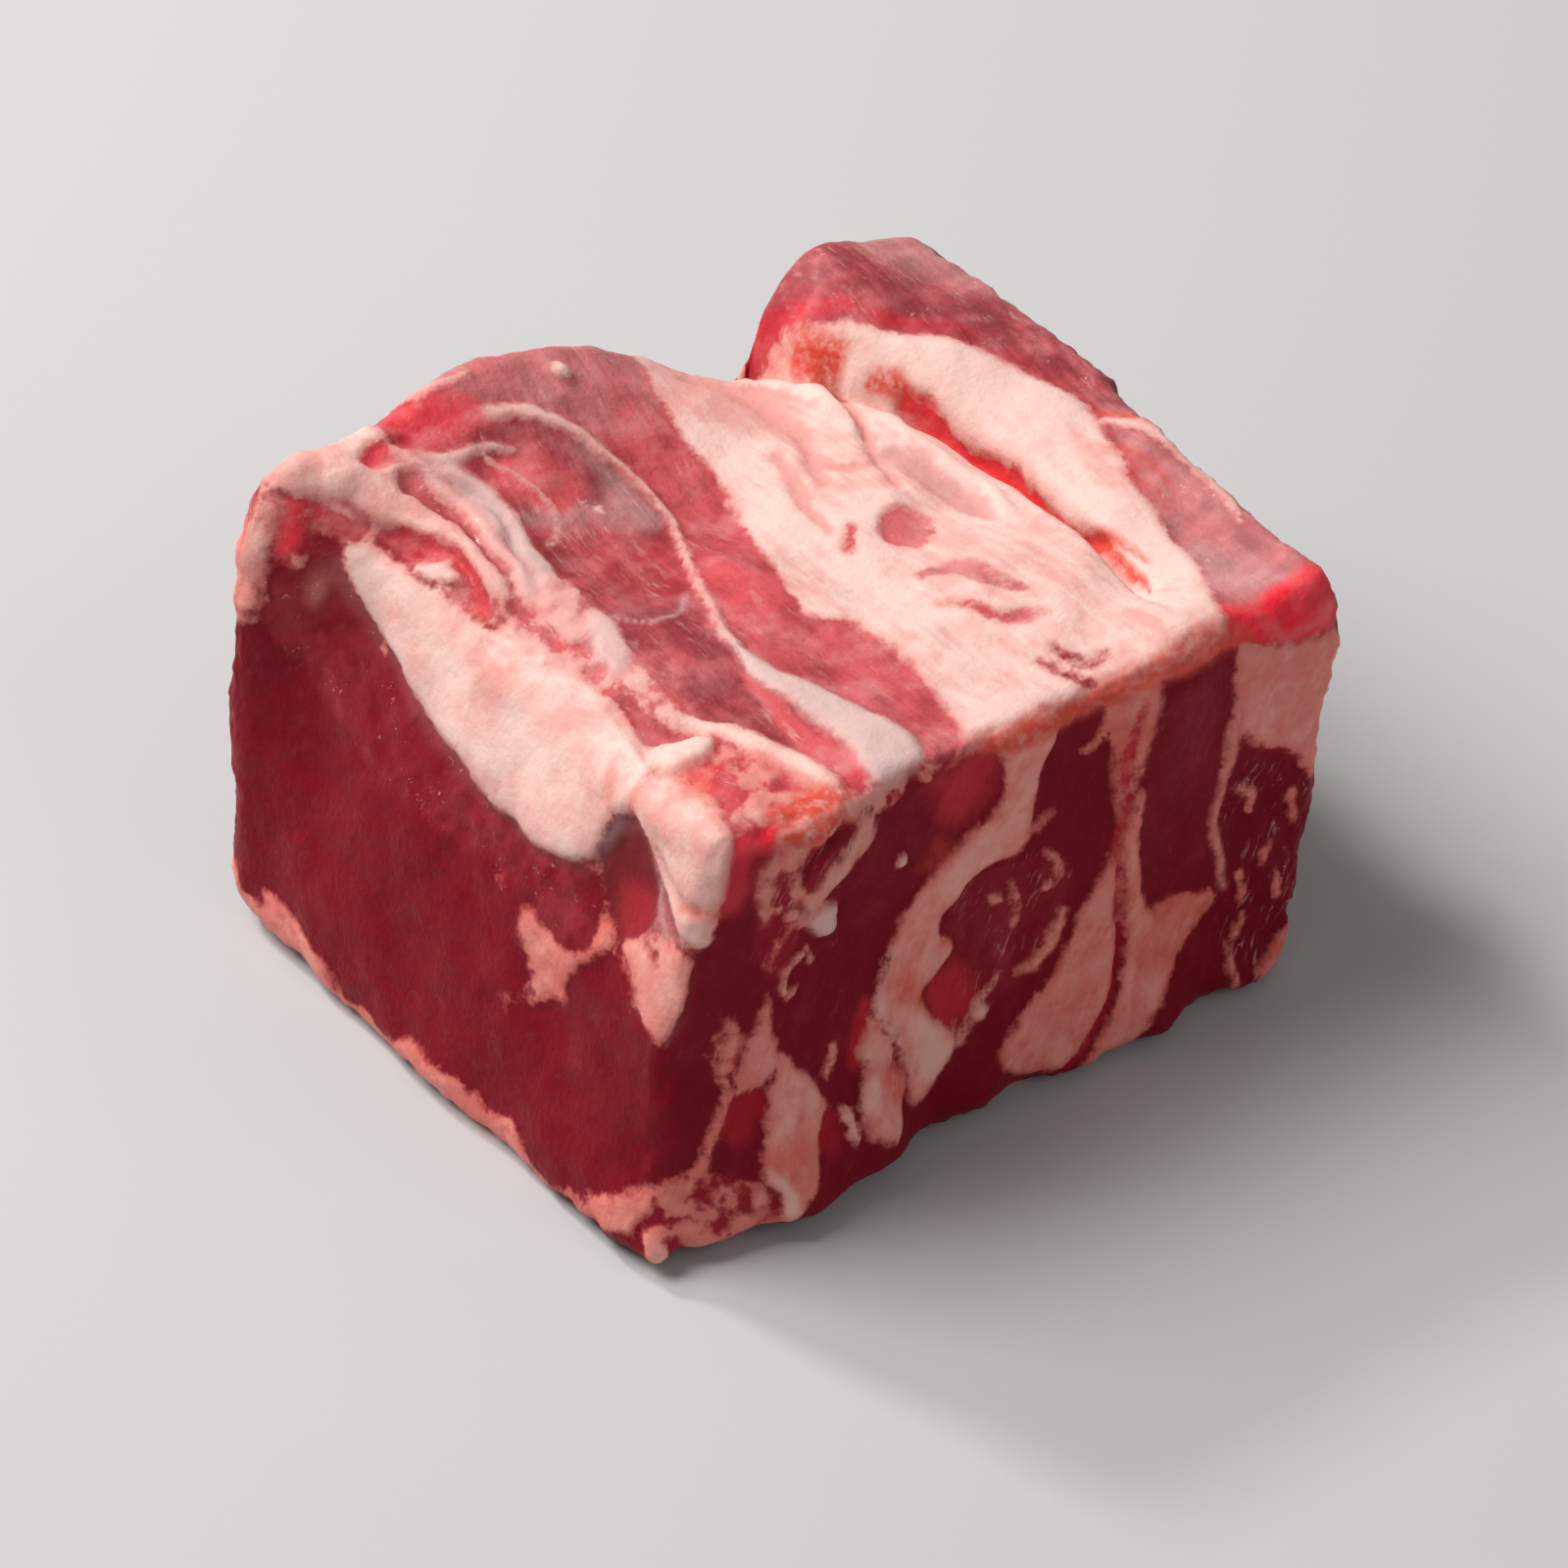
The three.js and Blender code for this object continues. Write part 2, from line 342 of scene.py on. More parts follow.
@dataclass(frozen=True)
class Mark:
    """A form with what it lays on the meat, and how softly it ends.

    FAT is laid by depth: 1 makes the form fat, −1 makes it lean, and it fades by at least a millimetre for
    each one beyond the form. RELIEF is added, in millimetres. The others are shares, mostly from 0 to 1,
    which take the place of what was there.
    """

    form: Form
    coats: dict[Coat, float]
    soft: float = 0.7

    def lay(self, places: np.ndarray, layers: dict[Coat, np.ndarray]) -> None:
        """Lays the coats on a face.

        Args:
            places: x and y on the face, in millimetres.
            layers: The face's coats, changed in place.
        """
        depth = self.form.depth(places)
        cover = smooth(-self.soft, self.soft, depth)
        for coat, amount in self.coats.items():
            if coat is FAT:
                limit = np.maximum if amount > 0 else np.minimum
                beyond = math.copysign(max(abs(amount), 1), amount)
                layers[FAT] = limit(layers[FAT], depth * np.where(depth > 0, amount, beyond))
            elif coat is RELIEF:
                layers[RELIEF] += amount * cover
            else:
                layers[coat] += (amount - layers[coat]) * cover


LEAN_BASE = {FAT: -DEEPEST, DEEP: 0.42, FLECKS_AND_GLINTS: 0.2, CREAM: 0.3, STREAKS: 0.04}

# The top, x to the right and y to the back.
TOP_MARKS = {
    "hump behind the bands": Mark(
        Patch(((-14, 38), (-13, 32), (-8, 30.3), (-4.5, 28), (-2.5, 25), (2, 25.5), (7, 29), (9, 38),
            (-1, 41))),
        {DEEP: 0.3, SILVER: 0.2, FLECKS_AND_GLINTS: 0.4, STREAKS: 0.3}, 1.5),
    "bright lean behind the fan": Mark(
        Patch(((-20, 35.5), (-13.5, 33), (-12.5, 29.5), (-18.7, 30.5))), {BRIGHT: 0.35, DEEP: 0.35}, 1.0),
    "left lean band": Mark(
        Patch(((-14, 29), (-11, 29), (-7, 27.5), (-4, 24.5), (-2.6, 20), (-3, 14), (-7, 4), (-9, -6),
            (-10, -24), (-14, -18), (-17, -8), (-16, 6), (-15, 20))),
        {DEEP: 0.62, SILVER: 0.05, STREAKS: 0.25}),
    "its bright upper part": Mark(
        Patch(((-12.5, 26), (-9.5, 25), (-7, 21), (-11, 19), (-13.5, 21), (-14.5, 24))),
        {BRIGHT: 0.25, DEEP: 0.35}, 1.2),
    "its bright middle": Mark(
        Patch(((-10.5, 15.7), (-4.5, 12), (-8, 3), (-10.5, 5), (-11, 9.5), (-12, 13.5))),
        {BRIGHT: 0.15, DEEP: 0.75}, 1.5),
    # Partly silver skin, partly painted sheen with pale painted glints.
    "its grey haze": Mark(
        Patch(((-4.7, 25.5), (-3.3, 22), (-2.8, 18), (-3, 14.5), (-7, 14.7), (-8.5, 17.5), (-5.7, 19))),
        {SILVER: 0.3, GREY_AND_SHADE: 0.15, FLECKS_AND_GLINTS: 0.9}, 1.2),
    # Pale flecks here are partly painted glints of wet lean.
    "its flecks": Mark(
        Band(((-14.3, 19), (-11.5, 18), (-8.5, 18.3), (-6.5, 16)), (1.2, 2.0, 2.2, 1.4)),
        {FLECKS_AND_GLINTS: 1.0, SILVER: 0.25, GREY_AND_SHADE: 0.1}, 0.9),
    "its white spot": Mark(Spot((-7.7, 17.8), (0.7, 0.6), 20), {FAT: 1, CREAM: 1}, 0.4),
    "its lower flecks": Mark(Band(((-15, 5), (-11, 2), (-7, 3.5)), 1.8), {FLECKS_AND_GLINTS: 1.0, GREY_AND_SHADE: 0.15}, 1.0),
    "middle lean band": Mark(
        Patch(((3, 29), (-1.5, 25), (-1.2, 20), (-2.5, 12), (-8, 1), (-9, -7), (-6, -14), (-3, -22),
            (-2, -28), (3, -28), (3, -14), (0, -4), (2, 8), (4.5, 17), (5.5, 24))),
        {DEEP: 0.45, BRIGHT: 0.1, SILVER: 0.06, STREAKS: 0.2}, 1.5),
    "white dot on the hump": Mark(Spot((-2, 32.5), (1.0, 0.9)), {FAT: 1.3, CREAM: 1, RELIEF: 0.35}, 0.35),
    "its bright part": Mark(Patch(((-3, 8), (-1, 0), (-5, -4), (-7, 3))), {BRIGHT: 0.25, DEEP: 0.3}, 1.6),
    "wide fat seam": Mark(
        Patch(((8.5, 37), (7, 31), (6, 26), (5, 22), (5.5, 19), (4, 14), (2, 8.5), (1, 3), (0, -4),
            (2.5, -7.5), (3, -14), (2.5, -22), (2, -31), (30, -31), (32, -22), (34.5, -13), (34.5, -7),
            (36, 0), (37.5, 6), (34, 15), (29, 21), (24, 26.5), (22, 31), (20, 33), (17, 35), (12, 33))),
        {FAT: 1, CREAM: 0.62}),
    "pale middle of the seam": Mark(
        Patch(((6, 18), (12, 20), (13, 8), (9, -4), (9, -16), (5, -20), (4, -6), (5, 4))),
        {CREAM: 0.85}, 2.5),
    "pink back of the seam": Mark(
        Patch(((8, 35), (18, 33), (20, 27), (17, 22), (10, 24), (7, 30))), {CREAM: 0.15}, 2.5),
    "slab of fat": Mark(
        Patch(((22, 30), (29, 20), (36, 8), (35, -6), (33, -18), (30, -26), (28, -18), (29.5, -7), (29, 4),
            (27.5, 14), (24, 24))),
        {CREAM: 0.95, RELIEF: 0.15}, 1.2),
    "lean of the right side": Mark(
        Patch(((39, 6), (37.5, 1), (36, -4), (34.5, -9), (33.8, -14), (31.5, -20), (29.5, -26), (29, -31),
            (48, -31), (48, 8))),
        {FAT: -1, DEEP: 0.4, SILVER: 0.22, FLECKS_AND_GLINTS: 1.0, STREAKS: 0.2}),
    # Partly silver skin, partly painted glints: whitish silver and pale flecks stand in for the wet lean's
    # highlights.
    "silver and painted glints on it": Mark(
        Patch(((33.8, -15), (36.3, -18), (37.3, -24), (34, -24.5), (31.5, -22))),
        {SILVER: 0.4, FLECKS_AND_GLINTS: 1.0}, 1.5),
    "its bright corner": Mark(
        Patch(((29, -25), (33, -25.3), (38, -24.5), (44, -22.5), (44, -31), (29, -31))),
        {BRIGHT: 1.0, DEEP: 0.1, SILVER: 0, FLECKS_AND_GLINTS: 0.2, STREAKS: 0, BLOOD: 0.5}, 1.0),
    "its pale rim": Mark(
        Band(((37.5, 3), (40.3, 0.3), (41.3, -5), (40.7, -10.5), (39, -15.5)), (1.4, 2.4, 2.2, 1.5, 0.6)),
        {FAT: 1, CREAM: 0.6, SILVER: 0}),
    "red at the rim's start": Mark(
        Band(((37, 5), (40, 2.6), (41.7, -1.5)), (0.6, 1.0, 0.6)), {STAIN: 0.9, BRIGHT: 0.5}, 0.5),
    "flap's lean": Mark(
        Patch(((20.7, 34.5), (23, 30), (26, 25.5), (29, 22.5), (32.5, 18.5), (35.5, 15.5), (37.7, 10.5),
            (39, 6), (48, 4), (48, 44), (18, 44))),
        {FAT: -1, DEEP: 0.6, SILVER: 0.06, FLECKS_AND_GLINTS: 0.8, STREAKS: 0.3}),
    "flap's dark back": Mark(
        Patch(((30, 44), (32, 34), (38, 26), (44, 20), (48, 44))),
        {DEEP: 0.45, SILVER: 0.3, FLECKS_AND_GLINTS: 1.0}, 2.0),
    "flap's bright edge": Mark(
        Band(((20.5, 36), (22, 32.5), (25, 28), (28.5, 24), (34, 18.5)), (3, 2.2, 1.4, 1.0, 0.5)),
        {BRIGHT: 0.4, DEEP: 0.6, SILVER: 0}, 0.9),
    "mottled strip": Mark(
        Patch(((-27, 29), (-22, 30.5), (-18, 29.5), (-15.5, 26), (-15, 21), (-15.9, 16), (-16.5, 13),
            (-16, 6.5), (-16.2, 3), (-17.4, -2.5), (-17.7, -6.5), (-18, -13), (-21, -13.5), (-24, -13),
            (-22.6, -8.5), (-22.3, -4), (-21.9, -1.5), (-22.3, 3), (-22.8, 7.7), (-23.9, 12.5), (-25, 17),
            (-26.5, 23))),
        {FAT: 0.3, MOTTLE: 0.9, CREAM: 0.2, SILVER: 0.2, DEEP: 0.4, BRIGHT: 0.1, STAIN: 0.1, FLECKS_AND_GLINTS: 0.6,
         RELIEF: -0.3}),
    "brown streaks": Mark(
        Band(((-21.6, 11), (-21.1, 7), (-20.8, 3.6), (-21.2, 0.7), (-20.9, -2.3), (-20.5, -6)),
            (0.9, 1.4, 1.7, 2.0, 2.4, 1.8)),
        {FAT: -0.45, MOTTLE: 0.8, SILVER: 0.12, DEEP: 0.35, STREAKS: 0.8}, 0.6),
    "ring strand": Mark(
        Patch(((-28, 31.5), (-25.9, 27.4), (-25, 25.3), (-24.1, 23.9), (-23, 21.5), (-22.2, 19.2),
            (-22.1, 16.5), (-22.4, 14), (-21.9, 11.7), (-20.9, 12.3), (-20.6, 14.1), (-20.4, 17.5),
            (-20.5, 19.7), (-20.9, 22.9), (-21.7, 24.6), (-22.5, 27.2), (-23.3, 29.4), (-25, 31.5))),
        {FAT: 1, CREAM: 0.45, MOTTLE: 0.15, SILVER: 0.05, RELIEF: 0.4}, 0.45),
    "red arc": Mark(
        Band(((-25.9, 24.9), (-24.8, 23.2), (-23.4, 20.8), (-22.7, 18.6), (-22.7, 16.5), (-23, 14.5),
            (-23.4, 12.6)), (1.4, 2.4, 2.0, 1.6, 1.4, 1.3, 0.8)),
        {FAT: -1.6, MOTTLE: 0.2, BRIGHT: 0.2, DEEP: 0.5, SILVER: 0, RELIEF: -0.5}, 0.4),
    "white bead": Mark(
        Band(((-24.8, 20.1), (-24.3, 18.5), (-23.9, 17.3)), (0.9, 1.7, 1.0)),
        {FAT: 1, CREAM: 1.0, MOTTLE: 0, RELIEF: 0.55}, 0.4),
    "small bead": Mark(Spot((-23.4, 14.6), (0.45, 0.4)), {FAT: 1, CREAM: 1, MOTTLE: 0}, 0.3),
    "red dot": Mark(
        Band(((-21.8, 10.9), (-21.3, 9.7), (-21.2, 8.3)), (0.7, 1.2, 0.7)),
        {FAT: -1, MOTTLE: 0.3, BRIGHT: 0.15, DEEP: 0.45, RELIEF: -0.2}, 0.4),
    "silver strand": Mark(
        Band(((-20, 29.5), (-19, 26.9), (-18.7, 24), (-18.6, 21), (-18.7, 17.5), (-19.2, 14),
            (-19.9, 10.5)), (0.9, 1.2, 1.2, 1.3, 1.2, 1.1, 0.8)),
        {FAT: 1, SILVER: 0.4, MOTTLE: 0.2, RELIEF: 0.35}, 0.4),
    # Lean in a furrow, with grey painted in for its shade.
    "red furrow": Mark(
        Band(((-20.6, 26), (-20.5, 24.6), (-20.1, 23), (-19.8, 20.5), (-19.8, 18.3), (-20.2, 15.3),
            (-20.5, 12.5)), (1.2, 1.7, 1.2, 1.0, 0.9, 0.8, 0.4)),
        {FAT: -1.5, MOTTLE: 0.2, BRIGHT: 0.1, GREY_AND_SHADE: 0.3, DEEP: 0.75, SILVER: 0, RELIEF: -0.5}, 0.4),
    "silver sheet": Mark(
        Patch(((-17, 28.5), (-15.6, 25), (-15.3, 21.5), (-15.7, 17), (-16.2, 13), (-17, 9.5), (-18.7, 10.5),
            (-18.2, 13), (-17.9, 17), (-17.7, 21.5), (-17.8, 26))),
        {FAT: 1, SILVER: 0.9, MOTTLE: 0.2, RELIEF: 0.3}, 0.5),
    # Lean in a slit, with grey painted in for its shade.
    "dark slit by it": Mark(
        Band(((-17.9, 26.5), (-16.8, 23.7), (-16.5, 21), (-16.9, 18), (-17.9, 15)),
            (0.5, 0.9, 0.8, 0.7, 0.4)),
        {FAT: -1, MOTTLE: 0.2, GREY_AND_SHADE: 0.5, DEEP: 0.7, RELIEF: -0.5}, 0.35),
    "tan lump": Mark(
        Patch(((-17.5, 11.5), (-16, 9.5), (-16, 6.5), (-19.2, 6), (-19.5, 9.5))),
        {FAT: 0.3, MOTTLE: 0.8, CREAM: 0.1, SILVER: 0.25, RELIEF: 0.3}, 0.6),
    "grey lump": Mark(
        Patch(((-17, 6), (-16, 3), (-17.2, -1.5), (-19.3, -2), (-18.7, 3))),
        {FAT: 0.9, SILVER: 0.8, RELIEF: 0.25}, 0.6),
    "red stripe": Mark(
        Band(((-20.2, 5.6), (-20.6, 4.2), (-21.3, 2.2)), (0.5, 1.0, 0.6)),
        {FAT: -0.9, BRIGHT: 0.35, RELIEF: -0.3}, 0.35),
    "second red stripe": Mark(
        Band(((-19.9, 3.5), (-19.7, 0), (-20.6, -3)), 0.6), {FAT: -0.9, BRIGHT: 0.4, RELIEF: -0.35}, 0.35),
    "strand fan": Mark(
        Band(((-19.3, 29.4), (-15.8, 28), (-13, 27.6), (-11, 26.6)), (1.3, 1.0, 0.6, 0.4)),
        {FAT: 1, SILVER: 0.5, RELIEF: 0.2}, 0.4),
    "low strand of the fan": Mark(
        Band(((-19.3, 28), (-16.7, 26.3), (-15.2, 24)), (1.0, 0.8, 0.4)),
        {FAT: 1, SILVER: 0.5, RELIEF: 0.15}, 0.4),
    "curved fine strand": Mark(
        Band(((-13.2, 26.7), (-12, 23), (-11.7, 19.3), (-12.6, 16.5), (-14.3, 15.7)), 0.35),
        {FAT: 0.8, SILVER: 0.3}, 0.3),
    "scratch of silver": Mark(
        Band(((-15.5, 4.5), (-13.2, 1.3), (-10, 1.5), (-7.5, 3.8)), 0.4), {SILVER: 0.5}, 0.3),
    "pale knob": Mark(
        Patch(((-34, 35.5), (-31, 38), (-26, 39), (-21.5, 38), (-20.2, 34), (-20.8, 30), (-22.3, 26.8),
            (-24.9, 26), (-26.2, 28.2), (-28, 30.2), (-30.2, 32.2))),
        {FAT: 0.9, CREAM: 0.45, MOTTLE: 0.15, RELIEF: 0.35}),
    "knob's fold": Mark(
        Band(((-26, 36), (-27.5, 33.5), (-28.3, 31.3)), (0.3, 0.6, 0.4)), {STAIN: 0.3, RELIEF: -0.25}, 0.6),
    "brown by the knob": Mark(
        Patch(((-30.3, 31.9), (-28.1, 30), (-26.2, 27.9), (-26.3, 26.3), (-28, 27.3), (-31, 28.5),
            (-33, 31.5))),
        {FAT: -0.2, MOTTLE: 0.8, BRIGHT: 0.1, DEEP: 0.45, FLECKS_AND_GLINTS: 0.7}, 0.5),
    "knob's red spot": Mark(
        Patch(((-24.3, 31.8), (-23.7, 30.1), (-22.3, 29.9), (-21.2, 29.7), (-20.8, 31.4), (-21.9, 32.6))),
        {FAT: -1.3, MOTTLE: 0.2, BRIGHT: 0.3, DEEP: 0.45, RELIEF: -0.4}, 0.45),
    "second red spot": Mark(
        Patch(((-21.7, 28.9), (-19.8, 28.3), (-19.8, 26.6), (-21, 26.2), (-22.2, 27))),
        {FAT: -1.3, MOTTLE: 0.2, BRIGHT: 0.2, DEEP: 0.55, RELIEF: -0.4}, 0.4),
    "dark notch by the knob": Mark(
        Spot((-19.6, 31.4), (1.2, 0.8), -30), {FAT: -1, DEEP: 0.7, RELIEF: -0.3}, 0.4),
    "strand on the back rim": Mark(
        Band(((-20, 36.5), (-16.5, 35.3), (-13.5, 34.3), (-10.5, 33.8)), (0.8, 1.3, 1.1, 0.4)),
        {FAT: 1, CREAM: 0.5, RELIEF: 0.2}, 0.4),
    "brown lean": Mark(
        Patch(((-21, -4.2), (-19, -8.2), (-18.1, -11), (-18.1, -12.9), (-19.7, -13), (-21.1, -12.7),
            (-22.4, -12), (-23.7, -13.2), (-23, -10.6), (-22.4, -8.5), (-22, -5.5))),
        {FAT: -1, MOTTLE: 0.4, DEEP: 0.5, SILVER: 0.08, FLECKS_AND_GLINTS: 0.8, RELIEF: -0.5}, 0.5),
    "thin seam": Mark(
        Band(((-12, 30.3), (-9, 29.5), (-6.5, 28.2), (-4.4, 26.4), (-3, 23.8), (-2.3, 21), (-1.9, 17.5),
            (-2.8, 12.9), (-5.1, 6.6), (-7.4, 0.5), (-8.8, -5)),
            (0.7, 1.5, 1.8, 1.7, 1.4, 1.0, 0.9, 0.9, 0.8, 0.9, 1.4)),
        {FAT: 1, CREAM: 0.5, RELIEF: 0.2}, 0.5),
    "silver wedge": Mark(
        Patch(((-9.2, -5), (-7.2, -11), (-5, -16.5), (-3.6, -21), (-2.6, -23.5), (-3.7, -26), (-6, -27.5),
            (-8.8, -27.5), (-8.7, -24), (-8.5, -20), (-9, -15), (-9.8, -10))),
        {FAT: 1, SILVER: 0.75, CREAM: 0.6, RELIEF: 0.25}),
    "lean beside the wedge": Mark(
        Band(((-10.3, -9), (-10.8, -15), (-10.9, -20), (-10.5, -25), (-10.4, -29)),
            (0.8, 2.0, 2.6, 2.9, 2.6)),
        {FAT: -1, BRIGHT: 0.15, DEEP: 0.05, STREAKS: 0.5}, 0.5),
    "cream seam": Mark(
        Band(((-20, -2), (-19.2, -7.5), (-17.7, -12), (-15.9, -15.5), (-14.8, -18.5), (-13.7, -22),
            (-13.3, -25), (-12.6, -28)), (0.6, 1.2, 1.7, 2.3, 2.7, 3.0, 2.7, 1.6)),
        {FAT: 1, CREAM: 0.7, RELIEF: 0.3}),
    "streaky pink patch": Mark(
        Patch(((-24.5, -17), (-20.5, -16.8), (-17.5, -16), (-15.5, -18.5), (-14.5, -23), (-14.5, -31),
            (-25, -31), (-25, -23))),
        {FAT: 0.05, MOTTLE: 0.7, CREAM: 0.0, BRIGHT: 0.1, DEEP: 0.4, FLECKS_AND_GLINTS: 1.0, BLOOD: 0.5,
         RELIEF: -0.2}),
    "its orange part": Mark(
        Patch(((-23.2, -16), (-21, -17), (-21, -20), (-23.3, -20.5))), {STAIN: 0.5}, 0.9),
    "its dark part": Mark(
        Patch(((-22.7, -20.5), (-21, -20), (-19.5, -22), (-21.3, -24), (-23, -24.2))),
        {FAT: -0.8, DEEP: 0.4, STREAKS: 0.8}, 0.8),
    "its red line": Mark(
        Band(((-20, -18.5), (-18.2, -20), (-17.3, -23), (-17, -26)), (0.4, 0.6, 0.6, 0.4)),
        {FAT: -0.7, BRIGHT: 0.4}, 0.4),
    "its speckled rim": Mark(
        Band(((-23.3, -25), (-21.5, -25.7), (-18.5, -25.8), (-15, -26.3)), (0.8, 1.3, 1.2, 0.8)),
        {FAT: 0.6, CREAM: 0.6, FLECKS_AND_GLINTS: 1.0}, 0.5),
    "second white bead": Mark(
        Patch(((-23, -12.4), (-19.5, -12.6), (-18, -15), (-19.5, -16.8), (-22.5, -16.4), (-23.6, -14.6))),
        {FAT: 1, MOTTLE: 0, CREAM: 0.9, RELIEF: 0.5}, 0.5),
    "rind": Mark(
        Patch(((-45, 26.5), (-31, 27), (-28.2, 27.7), (-26.9, 26.6), (-26.3, 25), (-26.1, 23.5),
            (-25.8, 21.5), (-25.3, 19.3), (-24.9, 17.7), (-24.5, 16), (-24.4, 14), (-24.2, 12),
            (-23.6, 10.1), (-22.9, 7.8), (-22.5, 5.4), (-22.2, 1.5), (-21.8, -1.2), (-21.9, -3),
            (-22.4, -5.5), (-22.6, -8.9), (-23.1, -10.5), (-24, -13), (-24.8, -15.5), (-28, -20),
            (-45, -20))),
        {FAT: 1, CREAM: 0.75, SILVER: 0, MOTTLE: 0, RELIEF: 0.35}, 0.5),
    "lip": Mark(
        Band(((-26, -12.5), (-25.2, -17), (-25, -21), (-25, -26), (-25, -31)), (2, 2.6, 2.6, 2.6, 2.4)),
        {FAT: 1, CREAM: 0.7, RELIEF: 0.35}, 0.6),
    "pink streak": Mark(
        Band(((11, 31), (14.5, 28), (15.2, 23.5), (15, 18.5), (12.3, 11.5)), (1.6, 2.6, 2.4, 1.8, 0.8)),
        {CREAM: -0.4, STAIN: 0.14, RELIEF: -0.45}, 1.0),
    "side pink streak": Mark(
        Band(((15, 18.5), (14.7, 13), (18, 12)), (1.0, 1.3, 0.6)),
        {CREAM: -0.3, STAIN: 0.1, RELIEF: -0.3}, 0.8),
    "low pink streak": Mark(
        Band(((11.5, 17.5), (10.5, 13.5), (8.7, 9.5), (8, 4.5)), (0.8, 1.3, 1.2, 0.5)),
        {CREAM: -0.3, STAIN: 0.08, RELIEF: -0.25}, 0.9),
    "ridge of the fold": Mark(
        Band(((16.5, 30.5), (19.5, 29.3), (21.2, 26), (20.8, 21.5), (19.3, 17.5)),
            (1.4, 2.2, 2.4, 1.8, 0.9)),
        {CREAM: 1.0, RELIEF: 0.75}, 0.9),
    # A pink-stained furrow, with grey painted in for its shade.
    "furrow behind it": Mark(
        Band(((22.4, 25.2), (22, 21.5), (20.2, 15.5), (18.5, 10), (18, 7.5)), (0.6, 1.0, 1.0, 0.8, 0.4)),
        {CREAM: -0.2, STAIN: 0.22, GREY_AND_SHADE: 0.2, RELIEF: -0.65}, 0.5),
    "second ridge": Mark(
        Band(((23.6, 22), (23.9, 18.5), (23.8, 13.5)), (1.0, 1.7, 1.0)), {CREAM: 1.0, RELIEF: 0.5}, 0.8),
    # Partly translucent grey fat, partly painted shade in the hollow.
    "grey hollow": Mark(
        Patch(((19.3, 13), (22.3, 12.7), (23.4, 8), (23.9, 4), (22.6, -1), (21, 3), (20.2, 7.5))),
        {GREY_AND_SHADE: 0.5, STAIN: 0.1, CREAM: 0, RELIEF: -0.55}, 0.9),
    "bright rim of the hollow": Mark(
        Band(((23.9, 12), (24.6, 7), (25, 3), (23.8, -1.5)), (0.8, 1.2, 1.1, 0.5)),
        {CREAM: 1.0, RELIEF: 0.45}, 0.6),
    "slab's cream slope": Mark(
        Band(((22.6, 30), (25, 25), (28, 18), (30, 10), (31, 0), (31.5, -10)), (3, 4.5, 5.5, 6.5, 6, 4)),
        {CREAM: 1.0}, 1.5),
    "orange under the flap": Mark(
        Band(((20.8, 32.5), (21.6, 30.3), (22, 28)), (1.0, 1.7, 1.2)), {STAIN: 0.45}, 0.7),
    "red under the flap": Mark(
        Band(((22, 28.9), (22.7, 26.4), (23.5, 24.3)), (1.0, 1.5, 1.2)), {STAIN: 1.0}, 0.5),
    "second red under it": Mark(
        Band(((24.8, 20.8), (25.8, 19.3), (26.4, 18)), (0.8, 1.4, 1.1)), {STAIN: 1.0, BRIGHT: 0.3}, 0.4),
    "halo of the crease": Mark(
        Band(((26.2, 16.5), (26.9, 13.5), (27.6, 9), (28.2, 5), (28.4, 0), (28.3, -6)),
            (1.6, 1.7, 1.8, 2.2, 2.4, 1.8)),
        {STAIN: 0.25}, 0.8),
    "red line of the crease": Mark(
        Band(((25.8, 17.5), (26.7, 14), (27.3, 10), (27.8, 5.5), (28, 0), (28.2, -5.5), (28.9, -9)),
            (1.3, 1.4, 1.0, 1.1, 1.5, 1.6, 0.6)),
        {FAT: -1.4, BRIGHT: 0.7, DEEP: 0.45, RELIEF: -0.4}, 0.35),
    "its thin end": Mark(
        Band(((28.7, -8), (28.7, -12), (27.7, -17)), (0.7, 0.9, 0.4)), {STAIN: 1.0, RELIEF: -0.35}, 0.35),
    "side crease": Mark(
        Band(((28.6, -6), (29.7, -9.5), (30.2, -14)), (0.5, 0.8, 0.4)), {STAIN: 0.9, RELIEF: -0.4}, 0.35),
    "pink spot of the slab": Mark(
        Band(((33.8, 2), (34.7, -0.7), (36.5, -2)), (0.9, 1.6, 0.8)), {STAIN: 0.35}, 0.7),
    "veins of the slab": Mark(
        Band(((35.8, -0.5), (37.2, -3.5), (37, -7.5)), (0.5, 0.8, 0.4)), {STAIN: 0.6}, 0.5),
    "lower vein": Mark(Band(((34.8, -4), (35.8, -7), (35.2, -10)), (0.4, 0.6, 0.3)), {STAIN: 0.5}, 0.45),
    "round spot of lean": Mark(
        Patch(((14.5, 5), (17, 4.5), (17.2, 1.7), (14.7, -1), (12.5, 0.3), (12.5, 3))),
        {FAT: -1, BRIGHT: 0.1, DEEP: 0.1, SILVER: 0.15, RELIEF: -0.15}, 0.5),
    "lens of lean": Mark(
        Band(((11.7, -5), (14.3, -6.2), (16, -9), (17.3, -12)), (0.7, 1.8, 1.9, 0.6)),
        {FAT: -0.6, DEEP: 0.15, SILVER: 0.2, MOTTLE: 0.25}, 0.5),
    "second lens": Mark(
        Band(((10.3, -9.5), (12.2, -12), (13.7, -14.3), (15.3, -15.5), (16.7, -16)),
            (0.4, 0.8, 1.0, 1.5, 0.7)),
        {FAT: -0.7, DEEP: 0.35, MOTTLE: 0.3}, 0.45),
    "dash": Mark(Band(((10, 4.5), (8.5, 1.7)), 0.7), {FAT: -0.5, BRIGHT: 0.3}, 0.4),
    "grey scribble": Mark(
        Band(((13, -21), (14, -24), (15.5, -26.5)), (0.8, 1.2, 0.8)),
        {FAT: -0.35, DEEP: 0.8, MOTTLE: 0.2}, 0.4),
    "second scribble": Mark(
